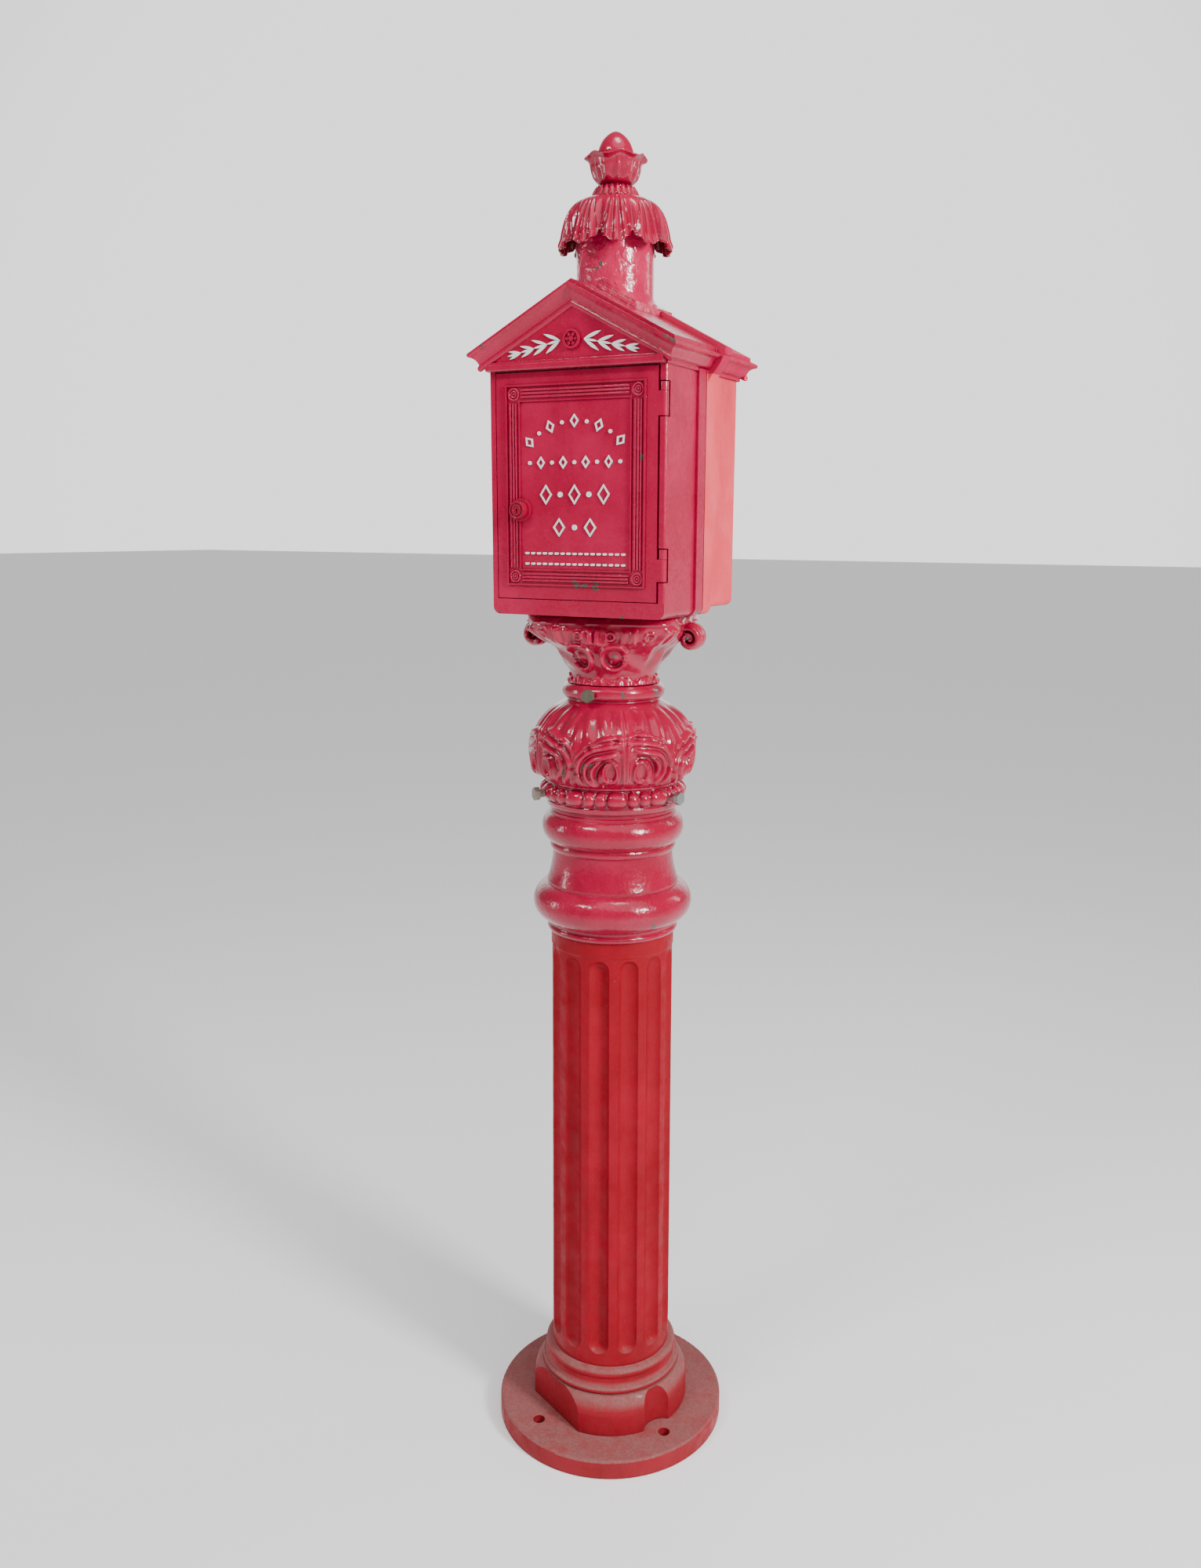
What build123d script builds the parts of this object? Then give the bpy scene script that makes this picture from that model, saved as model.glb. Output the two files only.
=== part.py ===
from build123d import *

import os
from math import cos, radians, sin

# Street fire alarm cable box: a cast-iron terminal cabinet on a fluted cast-iron post.
# Frame: millimetres, origin at the centre of the post's foot on the ground, +Z up.
# The cabinet door faces -Y and its hinges are on the +X side.

os.makedirs("parts", exist_ok=True)

# ---- driving dimensions ----------------------------------------------------------------
FOOT_R = 203.2  # 16 inch foot flange
FOOT_THICK = 35.2
PLINTH_R = 140.0
SHAFT_R_LOW = 105.8
SHAFT_R_HIGH = 103.2
SHAFT_LOW_Z = 149.0
SHAFT_TOP_Z = 932.0
COLUMN_BORE_R = 88.0
CAP_SPIGOT_LOW_Z = 880.0
CAP_SPIGOT_R = 89.8  # the column cap's spigot in the counterbore of the shaft
COUNTERBORE_R = 90.0
ANCHOR_PCD = 318.0
ANCHOR_HOLE_R = 10.5
ANCHOR_COUNT = 4
ANCHOR_START = -116.0  # degrees from +X to the first anchor hole, as seen from above
FLUTES = 13

CAP_SEAT_Z = 1147.0  # shoulder of the column cap that the neck sleeve stands on
SPIGOT_R = 96.0
CABLE_WAY_R = 76.0
RUN_GAP = 0.08  # radial clearance of every turning fit

COLLAR_TOP_Z = 1351.4
TENON_R = 60.0
TENON_BORE_R = 45.0

CASE_HALF = 150.2
CASE_FLOOR_Z = 1465.0
CASE_FRONT_Y = -127.3
CASE_WALL = 6.0
JOINT_Y = 5.0  # back of the front casting
GASKET_THICK = 3.0
REAR_Y = 137.3
REAR_FLOOR_Z = 1474.5
RIB_BACK_Y = 39.4

EAVE_Z = 1832.0  # underside of the cornice
EAVE_REACH = 25.8  # how far the cornice stands out from the walls
LIP_Z = 1858.0  # top of the cornice lip at the eaves
PITCH = 0.523  # rise of the roof for each unit of run
TYMPANUM_Y = -137.0

DOOR_LEFT = -140.0
DOOR_RIGHT = 137.0
DOOR_LOW = 1490.5
DOOR_HIGH = 1830.0
DOOR_THICK = 8.0
HINGE_X = 144.2
HINGE_Y = -121.3
KNUCKLE_R = 6.0
JAMB_ROUND_R = 7.0
HINGE_PIN_R = 2.5
LEAF_THICK = 4.0
UPPER_HINGE = (1760.0, 1794.8, 1807.5)  # door knuckle low, door knuckle high, leaf high
LOWER_HINGE = (1521.2, 1554.2, 1568.8)
LEDGE_Y = -117.3
LEDGE_BACK_Y = -111.3

LOCK_X = -96.0
LOCK_Z = 1626.0
PLUG_R = 6.0

# ---- worked-out values -------------------------------------------------------------------
ROOF_HALF = CASE_HALF + EAVE_REACH
ROOF_APEX = LIP_Z + PITCH * ROOF_HALF
PANEL_RISE = 6.0  # the roof field stands this much above the lip
DOOR_BACK_Y = CASE_FRONT_Y + DOOR_THICK
REAR_FLANGE_Y = JOINT_Y + GASKET_THICK
INNER_HALF = CASE_HALF - CASE_WALL


def finish(piece, name):
    """Label a finished piece and write it to its own file."""
    piece.part.label = name
    export_step(piece.part, f"parts/{name}.step")


def at_y(y):
    """A sketch plane facing -Y that crosses the Y axis at y."""
    return Plane.XZ.offset(-y)


def roof_z(x, drop=0.0):
    """Height of the roof's lip plane at x, less a vertical drop."""
    return ROOF_APEX - PITCH * abs(x) - drop


def gable(half, low, drop=0.0):
    """Corner points of a house-shaped outline, square below and pitched above."""
    return [
        (-half, low),
        (half, low),
        (half, roof_z(half, drop)),
        (0, ROOF_APEX - drop),
        (-half, roof_z(half, drop)),
    ]


def outline_solid(points, y_front, y_back, mode=Mode.ADD):
    """Add or remove a prism with the given XZ outline between two Y planes."""
    with BuildSketch(at_y(y_back)) as outline:
        Polygon(*points, align=None)
    extrude(outline.sketch, amount=y_back - y_front, mode=mode)


def block(x, y, z, mode=Mode.ADD):
    """Add or remove a box given as its low and high bound along each axis."""
    centre = ((x[0] + x[1]) / 2, (y[0] + y[1]) / 2, (z[0] + z[1]) / 2)
    with Locations(centre):
        Box(x[1] - x[0], y[1] - y[0], z[1] - z[0], mode=mode)


def rod(x, y, z, radius, mode=Mode.ADD):
    """Add or remove an upright cylinder from z[0] to z[1]."""
    with Locations((x, y, (z[0] + z[1]) / 2)):
        Cylinder(radius, z[1] - z[0], mode=mode)


def rod_y(x, z, y, radius, mode=Mode.ADD):
    """Add or remove a cylinder along Y from y[0] to y[1]."""
    with Locations((x, (y[0] + y[1]) / 2, z)):
        Cylinder(radius, y[1] - y[0], rotation=(90, 0, 0), mode=mode)


def rod_x(y, z, x, radius, mode=Mode.ADD):
    """Add or remove a cylinder along X from x[0] to x[1]."""
    with Locations(((x[0] + x[1]) / 2, y, z)):
        Cylinder(radius, x[1] - x[0], rotation=(0, 90, 0), mode=mode)


def hex_prism(plane, flats, thick, mode=Mode.ADD):
    """Add a hexagonal prism that stands on the given plane."""
    with BuildSketch(plane) as hexagon:
        RegularPolygon(flats / 2, 6, major_radius=False)
    extrude(hexagon.sketch, amount=thick, mode=mode)


def radial_plane(azimuth, radius, z):
    """A plane that faces outwards at an azimuth from -Y towards +X."""
    out = Vector(sin(radians(azimuth)), -cos(radians(azimuth)), 0)
    return Plane(origin=out * radius + Vector(0, 0, z), x_dir=(0, 0, 1), z_dir=out)


# ---- post: foot, plinth and fluted shaft ------------------------------------------------
with BuildPart() as pedestal_column:
    with BuildSketch(Plane.XZ):
        with BuildLine():
            Polyline((COLUMN_BORE_R, 0), (FOOT_R - 1.5, 0), (FOOT_R, 1.5), (FOOT_R, FOOT_THICK - 4))
            ThreePointArc(
                (FOOT_R, FOOT_THICK - 4),
                (FOOT_R - 1.2, FOOT_THICK - 1.2),
                (FOOT_R - 4, FOOT_THICK),
            )
            Polyline((FOOT_R - 4, FOOT_THICK), (PLINTH_R, FOOT_THICK), (PLINTH_R, 71))
            ThreePointArc((PLINTH_R, 71), (136.2, 89), (125.5, 104))
            Polyline((125.5, 104), (120, 105.2))
            ThreePointArc((120, 105.2), (124.8, 111.2), (119.5, 117.2))
            ThreePointArc((119.5, 117.2), (116.4, 124.5), (116, 132))
            ThreePointArc((116, 132), (117.6, 141), (108.5, 148))
            Polyline(
                (108.5, 148),
                (SHAFT_R_LOW, SHAFT_LOW_Z),
                (SHAFT_R_HIGH, 903),
                (104.7, 906),
                (104.7, SHAFT_TOP_Z),
                (COUNTERBORE_R, SHAFT_TOP_Z),
                (COUNTERBORE_R, CAP_SPIGOT_LOW_Z),
                (COLUMN_BORE_R, CAP_SPIGOT_LOW_Z),
                (COLUMN_BORE_R, 0),
            )
        make_face()
    revolve(axis=Axis.Z)
    # flutes with rounded ends
    FLUTE_R = 21.5
    FLUTE_AXIS_R = 115.2
    FLUTE_LOW, FLUTE_HIGH = 173.0 + 19.0, 901.0 - 19.0
    with PolarLocations(FLUTE_AXIS_R, FLUTES, start_angle=-74.7):
        with Locations((0, 0, (FLUTE_LOW + FLUTE_HIGH) / 2)):
            Cylinder(FLUTE_R, FLUTE_HIGH - FLUTE_LOW, mode=Mode.SUBTRACT)
    with PolarLocations(FLUTE_AXIS_R, FLUTES, start_angle=-74.7):
        with Locations((0, 0, FLUTE_LOW), (0, 0, FLUTE_HIGH)):
            Sphere(FLUTE_R, mode=Mode.SUBTRACT)
    # anchor holes, with two round scallops and two flat facets in the plinth to clear the nuts
    with PolarLocations(ANCHOR_PCD / 2, ANCHOR_COUNT, start_angle=ANCHOR_START):
        with Locations((0, 0, FOOT_THICK / 2)):
            Cylinder(ANCHOR_HOLE_R, FOOT_THICK + 2, mode=Mode.SUBTRACT)
    with PolarLocations(ANCHOR_PCD / 2, 2, start_angle=ANCHOR_START + 90):
        with Locations((0, 0, (FOOT_THICK + 104) / 2)):
            Cylinder(35, 104 - FOOT_THICK, mode=Mode.SUBTRACT)
    with PolarLocations(122 + 20, 2, start_angle=ANCHOR_START):
        with Locations((0, 0, (FOOT_THICK + 104) / 2)):
            Box(40, 180, 104 - FOOT_THICK, mode=Mode.SUBTRACT)
finish(pedestal_column, "pedestal_column")

# ---- column cap: two half-round mouldings with a scotia between ---------------------------
with BuildPart() as column_cap:
    with BuildSketch(Plane.XZ):
        with BuildLine():
            Polyline(
                (CABLE_WAY_R, CAP_SPIGOT_LOW_Z),
                (CAP_SPIGOT_R, CAP_SPIGOT_LOW_Z),
                (CAP_SPIGOT_R, SHAFT_TOP_Z),
                (108, SHAFT_TOP_Z),
            )
            ThreePointArc((108, SHAFT_TOP_Z), (111, 937), (108.5, 942))
            ThreePointArc((108.5, 942), (108.2, 947), (113, 951))
            ThreePointArc((113, 951), (134.6, 984), (114, 1012.5))
            Polyline((114, 1012.5), (111.2, 1013.5), (111.2, 1018.5))
            ThreePointArc((111.2, 1018.5), (103.8, 1045), (101.2, 1071))
            ThreePointArc((101.2, 1071), (106, 1078), (104.5, 1085))
            ThreePointArc((104.5, 1085), (119.2, 1112), (109.5, 1133.5))
            Polyline(
                (109.5, 1133.5),
                (107, 1134.5),
                (107, 1139.5),
                (105, 1141),
                (105, CAP_SEAT_Z),
                (SPIGOT_R, CAP_SEAT_Z),
                (SPIGOT_R, 1186),
                (84, 1186),
                (84, 1150),
                (90, 1135),
                (90, 1030),
                (98, 1010),
                (98, 960),
                (CABLE_WAY_R, 938),
                (CABLE_WAY_R, CAP_SPIGOT_LOW_Z),
            )
        make_face()
    revolve(axis=Axis.Z)
finish(column_cap, "column_cap")

# ---- neck sleeve: bead ring, acanthus bulb and collar in one casting ---------------------
SET_BOLT_Z = 1172.0
SET_BOLT_AZIMUTHS = (-41, 79, 199)
COLLAR_BOLT_Z = 1338.0
COLLAR_BOLT_AZIMUTHS = (2, 182)
SET_BOLT_R = 6.2

with BuildPart() as neck_sleeve:
    with BuildSketch(Plane.XZ):
        with BuildLine():
            Polyline(
                (SPIGOT_R + RUN_GAP, CAP_SEAT_Z + 0.3),
                (108, CAP_SEAT_Z + 0.3),
                (111, 1150),
                (111.5, 1157),
            )
            ThreePointArc((111.5, 1157), (119.5, 1173), (113.8, 1190))
            Spline((113.8, 1190), (131, 1210), (137, 1238), (132, 1272), (109, 1302), (77, 1325))
            Polyline((77, 1325), (78, 1328))
            ThreePointArc((78, 1328), (85, 1340), (76, COLLAR_TOP_Z))
            Polyline(
                (76, COLLAR_TOP_Z),
                (TENON_R + RUN_GAP, COLLAR_TOP_Z),
                (TENON_R + RUN_GAP, 1312),
                (72, 1300),
                (108, 1275),
                (124, 1240),
                (116, 1210),
                (100, 1194),
                (84, 1187.5),
                (SPIGOT_R + RUN_GAP, 1187.5),
                (SPIGOT_R + RUN_GAP, CAP_SEAT_Z + 0.3),
            )
        make_face()
    revolve(axis=Axis.Z)
    with BuildSketch(*[radial_plane(a, SPIGOT_R - 6, SET_BOLT_Z) for a in SET_BOLT_AZIMUTHS]):
        Circle(SET_BOLT_R)
    with BuildSketch(*[radial_plane(a, TENON_R - 6, COLLAR_BOLT_Z) for a in COLLAR_BOLT_AZIMUTHS]):
        Circle(SET_BOLT_R)
    extrude(amount=40, mode=Mode.SUBTRACT)
finish(neck_sleeve, "neck_sleeve")


def set_bolt(azimuth, tip_r, head_r, z):
    """A hexagon-headed set bolt that points at the post's axis."""
    with BuildSketch(radial_plane(azimuth, tip_r, z)) as shank:
        Circle(SET_BOLT_R)
    extrude(shank.sketch, amount=head_r - tip_r)
    hex_prism(radial_plane(azimuth, head_r, z), 19.05, 9.0)


with BuildPart() as sleeve_set_bolts:
    for azimuth in SET_BOLT_AZIMUTHS:
        set_bolt(azimuth, SPIGOT_R + 0.35, 131.0, SET_BOLT_Z)
finish(sleeve_set_bolts, "sleeve_set_bolts")

with BuildPart() as collar_set_bolts:
    for azimuth in COLLAR_BOLT_AZIMUTHS:
        set_bolt(azimuth, TENON_R + 0.35, 91.0, COLLAR_BOLT_Z)
finish(collar_set_bolts, "collar_set_bolts")

# ---- capital: hollow bell with a tenon below, a plate above and a volute at each side ----
CAPITAL_TURN = 10.0  # the capital's ornament is turned this far from the cabinet
FOOT_RIM_Z = COLLAR_TOP_Z + 0.3
FOOT_RIM_R = 72.5
VOLUTE_REACH = 131.0
VOLUTE_Z = 1427.0
VOLUTE_R = 22.0
PLATE_Z = 1450.0
PLATE_X, PLATE_Y = 272.0, 226.0
PLATE_HOLE_R = 48.0
CASE_BOLTS = ((-60, -75), (60, -75), (-60, 23), (60, 23))
CASE_BOLT_R = 6.0
turned = Plane.XY.rotated((0, 0, CAPITAL_TURN))

with BuildPart() as capital:
    rod(0, 0, (1316, FOOT_RIM_Z), TENON_R)
    rod(0, 0, (FOOT_RIM_Z, 1367), FOOT_RIM_R)
    with BuildSketch(Plane.XY.offset(1367)):
        Circle(FOOT_RIM_R)
    with BuildSketch(Plane.XY.offset(1418)):
        Circle(101)
    loft(ruled=True)
    with BuildSketch(Plane.XY.offset(1418)):
        Circle(101)
    with BuildSketch(turned.offset(PLATE_Z)):
        RectangleRounded(PLATE_X - 14, PLATE_Y - 10, 56)
    loft(ruled=True)
    with BuildSketch(turned.offset(PLATE_Z)):
        RectangleRounded(PLATE_X, PLATE_Y, 52)
    extrude(amount=CASE_FLOOR_Z - PLATE_Z)
    with Locations(turned):
        with Locations((VOLUTE_REACH, 0, VOLUTE_Z), (-VOLUTE_REACH, 0, VOLUTE_Z)):
            Cylinder(VOLUTE_R, 46, rotation=(90, 0, 0))
    rod(0, 0, (1300, 1372), TENON_BORE_R, mode=Mode.SUBTRACT)
    with BuildSketch(Plane.XY.offset(1372)):
        Circle(62)
    with BuildSketch(Plane.XY.offset(1418)):
        Circle(92)
    loft(ruled=True, mode=Mode.SUBTRACT)
    with BuildSketch(Plane.XY.offset(1418)):
        Circle(92)
    with BuildSketch(turned.offset(1456)):
        RectangleRounded(PLATE_X - 40, PLATE_Y - 22, 50)
    loft(ruled=True, mode=Mode.SUBTRACT)
    rod(0, 0, (1440, 1470), PLATE_HOLE_R, mode=Mode.SUBTRACT)
    for x, y in CASE_BOLTS:
        rod(x, y, (1440, 1470), CASE_BOLT_R + 0.5, mode=Mode.SUBTRACT)
finish(capital, "capital")


# ---- cabinet castings ----------------------------------------------------------------------
def bowed(start, middle, end, steps=7):
    """Points along the parabola through three points, all but the first."""
    control = [2 * m - (s + e) / 2 for s, m, e in zip(start, middle, end)]
    return [
        tuple(
            (1 - t) ** 2 * s + 2 * t * (1 - t) * c + t**2 * e
            for s, c, e in zip(start, control, end)
        )
        for t in (step / steps for step in range(1, steps + 1))
    ]


# crown moulding as (reach from the wall, height over the lip); facets meet exactly at the mitres
CROWN = [(EAVE_REACH, 0), (EAVE_REACH, -4), (23.2, -5.2)]
CROWN += bowed((23.2, -5.2), (17.4, -7.8), (13.5, -13))
CROWN += bowed((13.5, -13), (10.6, -17.7), (5.5, -20))
CROWN += [(3, -21), (3, EAVE_Z - LIP_Z), (-4, EAVE_Z - LIP_Z), (-4, PITCH * (EAVE_REACH + 4))]


def side_cornice(side, y_low, y_high):
    """Crown moulding along one eave."""
    with BuildSketch(at_y(y_high)) as crown:
        Polygon(*[(side * (CASE_HALF + r), LIP_Z + h) for r, h in CROWN], align=None)
    extrude(crown.sketch, amount=y_high - y_low)


def raking_cornice(side, facing, wall_y):
    """Crown moulding up one slope of a gable whose wall plane is wall_y, facing -1 or +1."""
    with BuildSketch(Plane.YZ) as crown:
        high = ROOF_APEX - PITCH * EAVE_REACH
        profile = [(wall_y + facing * r, high + h + PITCH * r) for r, h in CROWN]
        Polygon(*profile, align=None)
        with BuildLine():
            bead_y = wall_y + facing * (abs(TYMPANUM_Y) - abs(CASE_FRONT_Y))
            bead_low = ROOF_APEX - 33.5
            Polyline((bead_y, bead_low), (bead_y, bead_low + 12))
            ThreePointArc(
                (bead_y, bead_low + 12),
                (bead_y + facing * 4.2, bead_low + 5),
                (bead_y, bead_low),
            )
        make_face()
    extrude(crown.sketch, amount=ROOF_HALF + 40, dir=(side, 0, -PITCH))


def mitre_block(side, facing, wall_y, reach=400.0):
    """Plan wedge in front of the 45 degree mitre at one corner of the eaves."""
    corner = (side * (CASE_HALF - 30), wall_y - facing * 30)
    tip = (side * (CASE_HALF + reach), wall_y + facing * reach)
    return [(0, wall_y - facing * 30), corner, tip, (0, wall_y + facing * reach)]


def build_gable(facing, wall_y, inner_y):
    """Roof, pediment and cornices of one casting, from its gable wall to inner_y."""
    low, high = sorted((wall_y + facing * EAVE_REACH, inner_y))
    tympanum_y = wall_y + facing * (abs(TYMPANUM_Y) - abs(CASE_FRONT_Y))
    outline_solid(gable(CASE_HALF, EAVE_Z), *sorted((tympanum_y, inner_y)))
    slab = gable(ROOF_HALF, LIP_Z)[2:]
    underside = [(-ROOF_HALF, LIP_Z - 3), (0, ROOF_APEX - 3), (ROOF_HALF, LIP_Z - 3)]
    outline_solid(slab + underside, low, high)
    panel_half = ROOF_HALF - 8
    field = [
        (-panel_half, roof_z(panel_half, 1)),
        (-panel_half, roof_z(panel_half, -PANEL_RISE)),
        (0, ROOF_APEX + PANEL_RISE),
        (panel_half, roof_z(panel_half, -PANEL_RISE)),
        (panel_half, roof_z(panel_half, 1)),
        (0, ROOF_APEX - 1),
    ]
    edge_y = wall_y + facing * (EAVE_REACH - 12)
    outline_solid(field, *sorted((edge_y, inner_y)))
    band_y = wall_y + facing * 14.7
    with BuildSketch(Plane.YZ.offset(-CASE_HALF)) as band:
        with BuildLine():
            Polyline(
                (wall_y, EAVE_Z),
                (band_y - facing * 2, EAVE_Z),
                (band_y, EAVE_Z + 2),
                (band_y, EAVE_Z + 8),
                (band_y - facing * 1.5, EAVE_Z + 9.5),
                (band_y - facing * 1.5, EAVE_Z + 12),
                (tympanum_y, EAVE_Z + 13.5),
                (wall_y, EAVE_Z + 13.5),
                (wall_y, EAVE_Z),
            )
        make_face()
    extrude(band.sketch, amount=2 * CASE_HALF)


def mitred_cornices(facing, wall_y, inner_y):
    """The four lengths of crown moulding of one casting, mitred at its corners."""
    lengths = []
    for side in (-1, 1):
        wedge = mitre_block(side, facing, wall_y)
        with BuildPart() as rake:
            raking_cornice(side, facing, wall_y)
            with BuildSketch(Plane.XY.offset(1700)):
                Polygon(*wedge, align=None)
            extrude(amount=400, mode=Mode.INTERSECT)
        with BuildPart() as eave:
            side_cornice(side, *sorted((wall_y + facing * EAVE_REACH, inner_y)))
            with BuildSketch(Plane.XY.offset(1700)):
                Polygon(*wedge, align=None)
            extrude(amount=400, mode=Mode.SUBTRACT)
        lengths += [rake.part, eave.part]
    return lengths


def case_outline(half, low, high, corner):
    """Front outline of the cabinet walls with rounded lower corners, in the open sketch."""
    with Locations((0, (low + high + corner) / 2)):
        RectangleRounded(2 * half, high - low + corner, corner)
    with Locations((0, high + corner / 2)):
        Rectangle(2 * half + 2, corner, mode=Mode.SUBTRACT)


def case_lugs(y_low, y_high, hole_r):
    """Lugs inside the side walls, in line with the case bolts, with their holes."""
    for x, z in CASE_LUGS:
        block(sorted((x, x + (14 if x > 0 else -14))), (y_low, y_high), (z - 10, z + 10))
        rod_y(x, z, (y_low, y_high), 10)
    for x, z in CASE_LUGS:
        rod_y(x, z, (y_low - 1, y_high + 1), hole_r, mode=Mode.SUBTRACT)


CASE_LUGS = [(x, z) for x in (-132, 132) for z in (1500, 1662, 1818)]
CASE_LUG_R = 3.2
SADDLE_BOLTS = ((-32, -36), (32, -36), (-32, 40), (32, 40))
SADDLE_BOLT_R = 4.0
SADDLE_HALF = 71.5
SADDLE_RISE = 17.0
SADDLE_Y = 68.0
SADDLE_BOSS_Z = 1893.0
FLANGE_PROUD = 4.5
LIGHTS = (-124.0, 122.0, 1506.0, 1814.0)  # doorway inside the ledge: x, x, z, z

front_cornices = mitred_cornices(-1, CASE_FRONT_Y, JOINT_Y)
with BuildPart() as front_case:
    with BuildSketch(at_y(JOINT_Y)):
        case_outline(CASE_HALF, CASE_FLOOR_Z, EAVE_Z, 12)
    extrude(amount=JOINT_Y - CASE_FRONT_Y)
    with BuildSketch(at_y(JOINT_Y)):
        case_outline(CASE_HALF + FLANGE_PROUD, CASE_FLOOR_Z, EAVE_Z + 4, 14)
    extrude(amount=26)
    build_gable(-1, CASE_FRONT_Y, JOINT_Y)
    add(front_cornices)
    # inside: walls all round, the attic under the roof and the hollow of the pediment
    outline_solid(gable(INNER_HALF, 1475, 12), LEDGE_BACK_Y, JOINT_Y + 1, Mode.SUBTRACT)
    outline_solid(gable(120, 1852, 20)[1:], TYMPANUM_Y + 6, LEDGE_BACK_Y + 1, Mode.SUBTRACT)
    # doorway: a pocket for the door and a smaller light inside the ledge it closes on
    block((DOOR_LEFT - 1.2, 138.7), (-160, LEDGE_Y), (DOOR_LOW - 1.2, EAVE_Z - 0.2), Mode.SUBTRACT)
    block(LIGHTS[:2], (LEDGE_Y - 1, LEDGE_BACK_Y + 1), LIGHTS[2:], Mode.SUBTRACT)
    for low, split, high in (UPPER_HINGE, LOWER_HINGE):
        block((138, 156), (-160, HINGE_Y + 6.9), (low - 1.5, high + 1.5), Mode.SUBTRACT)
        block((139.6, INNER_HALF), (-118, -111), (split - 0.6, high + 1.5), Mode.SUBTRACT)
        for y in (-98, -78):
            rod_x(y, (split + high) / 2, (140, 149), 2.5, mode=Mode.SUBTRACT)
    case_lugs(JOINT_Y - 18, JOINT_Y, CASE_LUG_R)
    for x, y in SADDLE_BOLTS[:2]:
        rod(x, y, (SADDLE_BOSS_Z, roof_z(x)), 11)
        rod(x, y, (SADDLE_BOSS_Z - 1, 1990), SADDLE_BOLT_R + 0.4, mode=Mode.SUBTRACT)
    for x, y in CASE_BOLTS[:2]:
        rod(x, y, (1450, 1480), CASE_BOLT_R + 0.5, mode=Mode.SUBTRACT)
    rod(0, 0, (1450, 1480), PLATE_HOLE_R - 8, mode=Mode.SUBTRACT)
    for z in (1606, 1646):
        rod_y(-132, z, (LEDGE_Y + 1.2, LEDGE_BACK_Y + 1), 2.2, mode=Mode.SUBTRACT)
    # round the hinge jamb about the hinge axis so that the door's edge swings clear
    with BuildSketch(Plane.XY.offset(DOOR_LOW - 1.2)):
        with Locations((HINGE_X, (HINGE_Y + CASE_FRONT_Y) / 2)):
            Rectangle(16, HINGE_Y - CASE_FRONT_Y + 0.1)
        with Locations((HINGE_X, HINGE_Y)):
            Circle(JAMB_ROUND_R, mode=Mode.SUBTRACT)
    extrude(amount=EAVE_Z - DOOR_LOW + 1.0, mode=Mode.SUBTRACT)
finish(front_case, "front_case")


def rib_step(rise, inset):
    """One step of the rounded rib over the roof, with a bracket down to the flange at each end."""
    bracket = [(CASE_HALF + FLANGE_PROUD, 1819), (160, 1828), (168, 1837.5), (175.5, 1848), (180, 1858)]
    bracket += [(183, roof_z(183, -4)), (181.5, roof_z(181.5, 1 - rise))]
    outline = bracket + [(0, ROOF_APEX + rise)] + [(-x, z) for x, z in reversed(bracket)]
    outline_solid(outline, REAR_FLANGE_Y + 4 + inset, RIB_BACK_Y - inset)


rear_cornices = mitred_cornices(1, REAR_Y, RIB_BACK_Y - 4)
with BuildPart() as rear_case:
    with BuildSketch(at_y(REAR_Y)):
        case_outline(CASE_HALF, REAR_FLOOR_Z, EAVE_Z, 12)
    extrude(amount=REAR_Y - REAR_FLANGE_Y)
    with BuildSketch(at_y(RIB_BACK_Y)):
        case_outline(CASE_HALF + FLANGE_PROUD, CASE_FLOOR_Z, EAVE_Z + 4, 14)
    extrude(amount=RIB_BACK_Y - REAR_FLANGE_Y)
    build_gable(1, REAR_Y, REAR_FLANGE_Y)
    add(rear_cornices)
    for rise, inset in ((12.5, 0.0), (15.0, 2.4), (16.0, 6.0)):
        rib_step(rise, inset)
    outline_solid(gable(CASE_HALF - 5, 1482, 12), REAR_FLANGE_Y - 1, REAR_Y - 5, Mode.SUBTRACT)
    outline_solid(gable(120, 1852, 20)[1:], REAR_Y - 6, REAR_Y + 3.7, Mode.SUBTRACT)
    # the rib stops at the saddle of the chimney
    saddle_seat = [
        (-SADDLE_HALF - 0.5, roof_z(SADDLE_HALF + 0.5, -PANEL_RISE)),
        (0, ROOF_APEX + PANEL_RISE),
        (SADDLE_HALF + 0.5, roof_z(SADDLE_HALF + 0.5, -PANEL_RISE)),
        (SADDLE_HALF + 0.5, 1990),
        (-SADDLE_HALF - 0.5, 1990),
    ]
    outline_solid(saddle_seat, REAR_FLANGE_Y - 1, 90, Mode.SUBTRACT)
    case_lugs(REAR_FLANGE_Y, REAR_FLANGE_Y + 12, CASE_LUG_R + 0.3)
    for x, y in SADDLE_BOLTS[2:]:
        rod(x, y, (SADDLE_BOSS_Z, roof_z(x)), 11)
        rod(x, y, (SADDLE_BOSS_Z - 1, 1990), SADDLE_BOLT_R + 0.4, mode=Mode.SUBTRACT)
    for x, y in CASE_BOLTS[2:]:
        rod(x, y, (1450, 1500), CASE_BOLT_R + 0.5, mode=Mode.SUBTRACT)
    rod(0, 0, (1450, 1500), PLATE_HOLE_R - 8, mode=Mode.SUBTRACT)
    for x in (-90, 90):
        for z in (1545, 1765):
            rod_y(x, z, (128, 135), 3.0, mode=Mode.SUBTRACT)
    rod_y(120, 1520, (128, 135), 3.0, mode=Mode.SUBTRACT)
finish(rear_case, "rear_case")

with BuildPart() as case_gasket:
    outline = gable(CASE_HALF - 1, CASE_FLOOR_Z + 2)
    outline_solid(outline, JOINT_Y, REAR_FLANGE_Y)
    outline_solid(gable(INNER_HALF, 1482, 12), JOINT_Y - 1, REAR_FLANGE_Y + 1, Mode.SUBTRACT)
    rod(0, 0, (1450, 1500), PLATE_HOLE_R - 8, mode=Mode.SUBTRACT)
finish(case_gasket, "case_gasket")

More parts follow.
